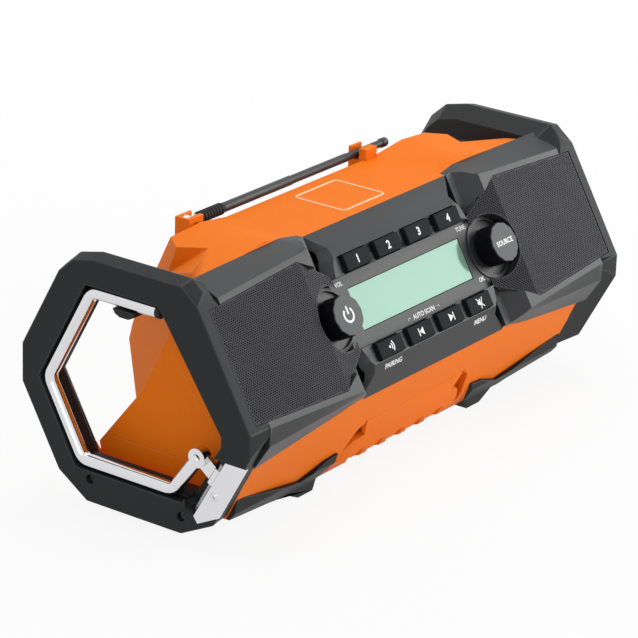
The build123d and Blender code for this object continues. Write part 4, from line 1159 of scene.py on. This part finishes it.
@dataclass
class Antenna:
    """Telescopic antenna lying in its groove: ribbed grip, three drawn tubes and an end button."""

    pivot_x: float = -106.0
    y: float = 33.0
    z: float = 75.0
    grip_start: float = 9.0
    grip_length: float = 24.0
    grip_radius: float = 3.2
    groove: float = 3.3
    rib: float = 3.85
    rib_slope: float = 0.35
    first_rib: float = 0.6
    ribs: int = 8
    tubes: tuple[tuple[float, float], ...] = (
        (0.0, 32.5), (3.1, 32.5), (3.1, 102.4), (2.8, 103.0), (2.8, 162.4), (2.5, 163.0), (2.5, 199.6),
        (2.9, 200.0), (3.1, 200.6), (3.1, 205.0), (2.6, 206.0), (0.0, 206.0),
    )

    def bar(self, name: str, profile: Pairs, sides: int = 32) -> Mesh:
        """Profile of (radius, distance along +X from the pivot) turned about the antenna's axis."""
        local = lathe(np.array(profile, float), sides)
        points = ring_point(self.pivot_x + local[..., 2], self.y + local[..., 0], self.z + local[..., 1])
        return make_mesh(name, points, grid_quads(*local.shape[:2], close_columns=True), 35.0)

    def build(self, shop: Workshop) -> None:
        """Makes the grip with its ribs, the stepped rod and the knuckle."""
        grip_end = self.grip_start + self.grip_length
        grip = [(0.0, self.grip_start), (self.grip_radius, self.grip_start)]
        step = self.grip_length / (self.ribs + 0.5)
        for i in range(self.ribs):
            start = self.grip_start + self.first_rib + i * step
            grip += [(self.groove, start), (self.rib, start + self.rib_slope)]
            grip += [(self.rib, start + step * 0.62), (self.groove, start + step * 0.8)]
        grip += [(self.grip_radius, grip_end), (0.0, grip_end)]
        shop.piece(self.bar("antenna_grip", grip), "antenna", [Finish.RUBBER], ["antenna_sleeve"])
        shop.piece(self.bar("antenna_tubes", self.tubes), "antenna", [Finish.PACK], ["antenna_rod"])
        shop.rounded("antenna_knuckle", 0.0)


@dataclass
class Underside:
    """Battery door with its finger scallops, and the socket cover at the rear."""

    def build(self, shop: Workshop) -> None:
        """Makes the rounded copies."""
        shop.rounded("battery_door", 0.8)
        shop.rounded("jack_cover", 0.6)


# ---- stage
@dataclass(frozen=True)
class SoftBox:
    """Rectangular lamp that looks at the object: the way to it, how far off, its size and its radiance.

    A radiance of 1 looks white; distance and size are metres.
    """

    name: str
    towards: Rgb
    distance: float
    size: tuple[float, float]
    radiance: float
    aim_height: float = 0.08

    def build(self) -> None:
        """Makes the lamp; its power is radiance * pi * area."""
        lamp = bpy.data.lights.new(self.name, "AREA")
        lamp.shape = "RECTANGLE"
        lamp.size, lamp.size_y = self.size
        lamp.energy = self.radiance * math.pi * self.size[0] * self.size[1]
        holder = bpy.data.objects.new(self.name, lamp)
        bpy.context.scene.collection.objects.link(holder)
        way = Vector(self.towards).normalized()
        holder.location = way * self.distance + Vector((0, 0, self.aim_height))
        holder.rotation_euler = way.to_track_quat("Z", "Y").to_euler()


@dataclass
class Stage:
    """Pale floor, soft boxes and the camera."""

    azimuth: float = 54.31399
    elevation: float = 21.38125
    roll: float = 1.91094
    focal_pixels: float = 3333.87
    frame_pixels: float = 638.0
    distance: float = 2105.0
    shift_right: float = -8.12073
    shift_up: float = -10.36953
    sensor: float = 36.0
    world_strength: float = 0.46
    floor_half: float = 6.0
    floor_drop: float = 0.0002
    shade_start: float = 0.25
    shade_end: float = 0.9
    least_glow: float = 0.90
    boxes: tuple[SoftBox, ...] = (
        SoftBox("front_right_box", (0.756, -0.587, 0.32), 1.7, (1.5, 1.1), 4.0),
        SoftBox("overhead_box", (0.1, 0.15, 1.0), 1.6, (1.6, 1.4), 1.7),
        SoftBox("left_fill", (-0.9, -0.35, 0.35), 1.9, (1.0, 1.2), 1.4),
    )

    def camera(self) -> None:
        """Camera from its direction, roll and the point of the object that it looks at."""
        a, e, r = (math.radians(angle) for angle in (self.azimuth, self.elevation, self.roll))
        ahead = Vector((math.sin(a) * math.cos(e), math.cos(a) * math.cos(e), -math.sin(e)))
        level = Vector((math.cos(a), -math.sin(a), 0.0))
        upright = level.cross(ahead)
        right = math.cos(r) * level + math.sin(r) * upright
        up = math.cos(r) * upright - math.sin(r) * level
        eye = Vector(RING_CENTRE) - ahead * self.distance + right * self.shift_right + up * self.shift_up
        lens = bpy.data.cameras.new("camera")
        lens.sensor_width = self.sensor
        lens.lens = self.focal_pixels * self.sensor / self.frame_pixels
        lens.clip_end = 50.0
        holder = bpy.data.objects.new("camera", lens)
        bpy.context.scene.collection.objects.link(holder)
        turned = Matrix((right, up, -ahead)).transposed().to_4x4()
        holder.matrix_world = Matrix.Translation(eye * MM) @ turned
        bpy.context.scene.camera = holder

    def world(self) -> None:
        """White seen directly, in gloss and through glass; world_strength for everything else."""
        world = bpy.data.worlds.new("studio")
        world.use_nodes = True
        bpy.context.scene.world = world
        sheet = NodeSheet(world.node_tree)
        back = sheet.node("ShaderNodeBackground", Color=(1, 1, 1, 1))
        gain = sheet.maths("MULTIPLY", sheet.seen(), 1.0 - self.world_strength)
        level = sheet.maths("ADD", gain, self.world_strength)
        sheet.link(level, back.inputs["Strength"])
        sheet.link(back.outputs[0], sheet.node("ShaderNodeOutputWorld").inputs["Surface"])

    def floor(self) -> None:
        """White floor that glows for the camera and for gloss, and keeps a shadow near the object."""
        mesh = bpy.data.meshes.new("floor")
        corners = np.array([(-1, -1, 0), (1, -1, 0), (1, 1, 0), (-1, 1, 0)]) * self.floor_half
        mesh.from_pydata(corners - [0, 0, self.floor_drop], [], [(0, 1, 2, 3)])
        holder = bpy.data.objects.new("floor", mesh)
        bpy.context.scene.collection.objects.link(holder)
        material = bpy.data.materials.new("floor")
        material.use_nodes = True
        mesh.materials.append(material)
        sheet = NodeSheet(material.node_tree)
        far = sheet.node("ShaderNodeVectorMath", operation="LENGTH")
        sheet.link(sheet.place(), far.inputs[0])
        fade = sheet.node(
            "ShaderNodeMapRange", interpolation_type="SMOOTHSTEP", From_Min=self.shade_start,
            From_Max=self.shade_end, To_Min=self.least_glow, To_Max=1.0,
        )
        sheet.link(far.outputs["Value"], fade.inputs["Value"])
        glow = sheet.node("ShaderNodeEmission", Color=(1, 1, 1, 1), Strength=1.0)
        matt = sheet.node("ShaderNodeBsdfDiffuse", Color=(0.8, 0.8, 0.8, 1))
        mixed = sheet.node("ShaderNodeMixShader")
        sheet.link(sheet.maths("MULTIPLY", sheet.seen(), fade.outputs["Result"]), mixed.inputs[0])
        sheet.link(matt.outputs[0], mixed.inputs[1])
        sheet.link(glow.outputs[0], mixed.inputs[2])
        sheet.link(mixed.outputs[0], sheet.node("ShaderNodeOutputMaterial").inputs["Surface"])

    def build(self) -> None:
        """Sets up the floor, the lights, the world and the camera."""
        self.floor()
        self.world()
        for box in self.boxes:
            box.build()
        self.camera()
        bpy.context.scene.view_settings.view_transform = "Standard"


def main() -> None:
    """Builds the radio's looks in order and sets the stage."""
    logging.basicConfig(level=logging.INFO, format="%(message)s")
    shop = Workshop()
    Stage().build()
    Shells().build(shop)
    Nameplate().build(shop)
    for side in ("left", "right"):
        PerforatedGrille().build(shop, side)
    Controls().build(shop)
    legends = Legends()
    for legend in legends.everything():
        legends.build(shop, legend)
    Hook().build(shop)
    Screws().build(shop)
    Antenna().build(shop)
    Underside().build(shop)
    shop.dress_nodes()


if __name__ == "__main__":
    main()
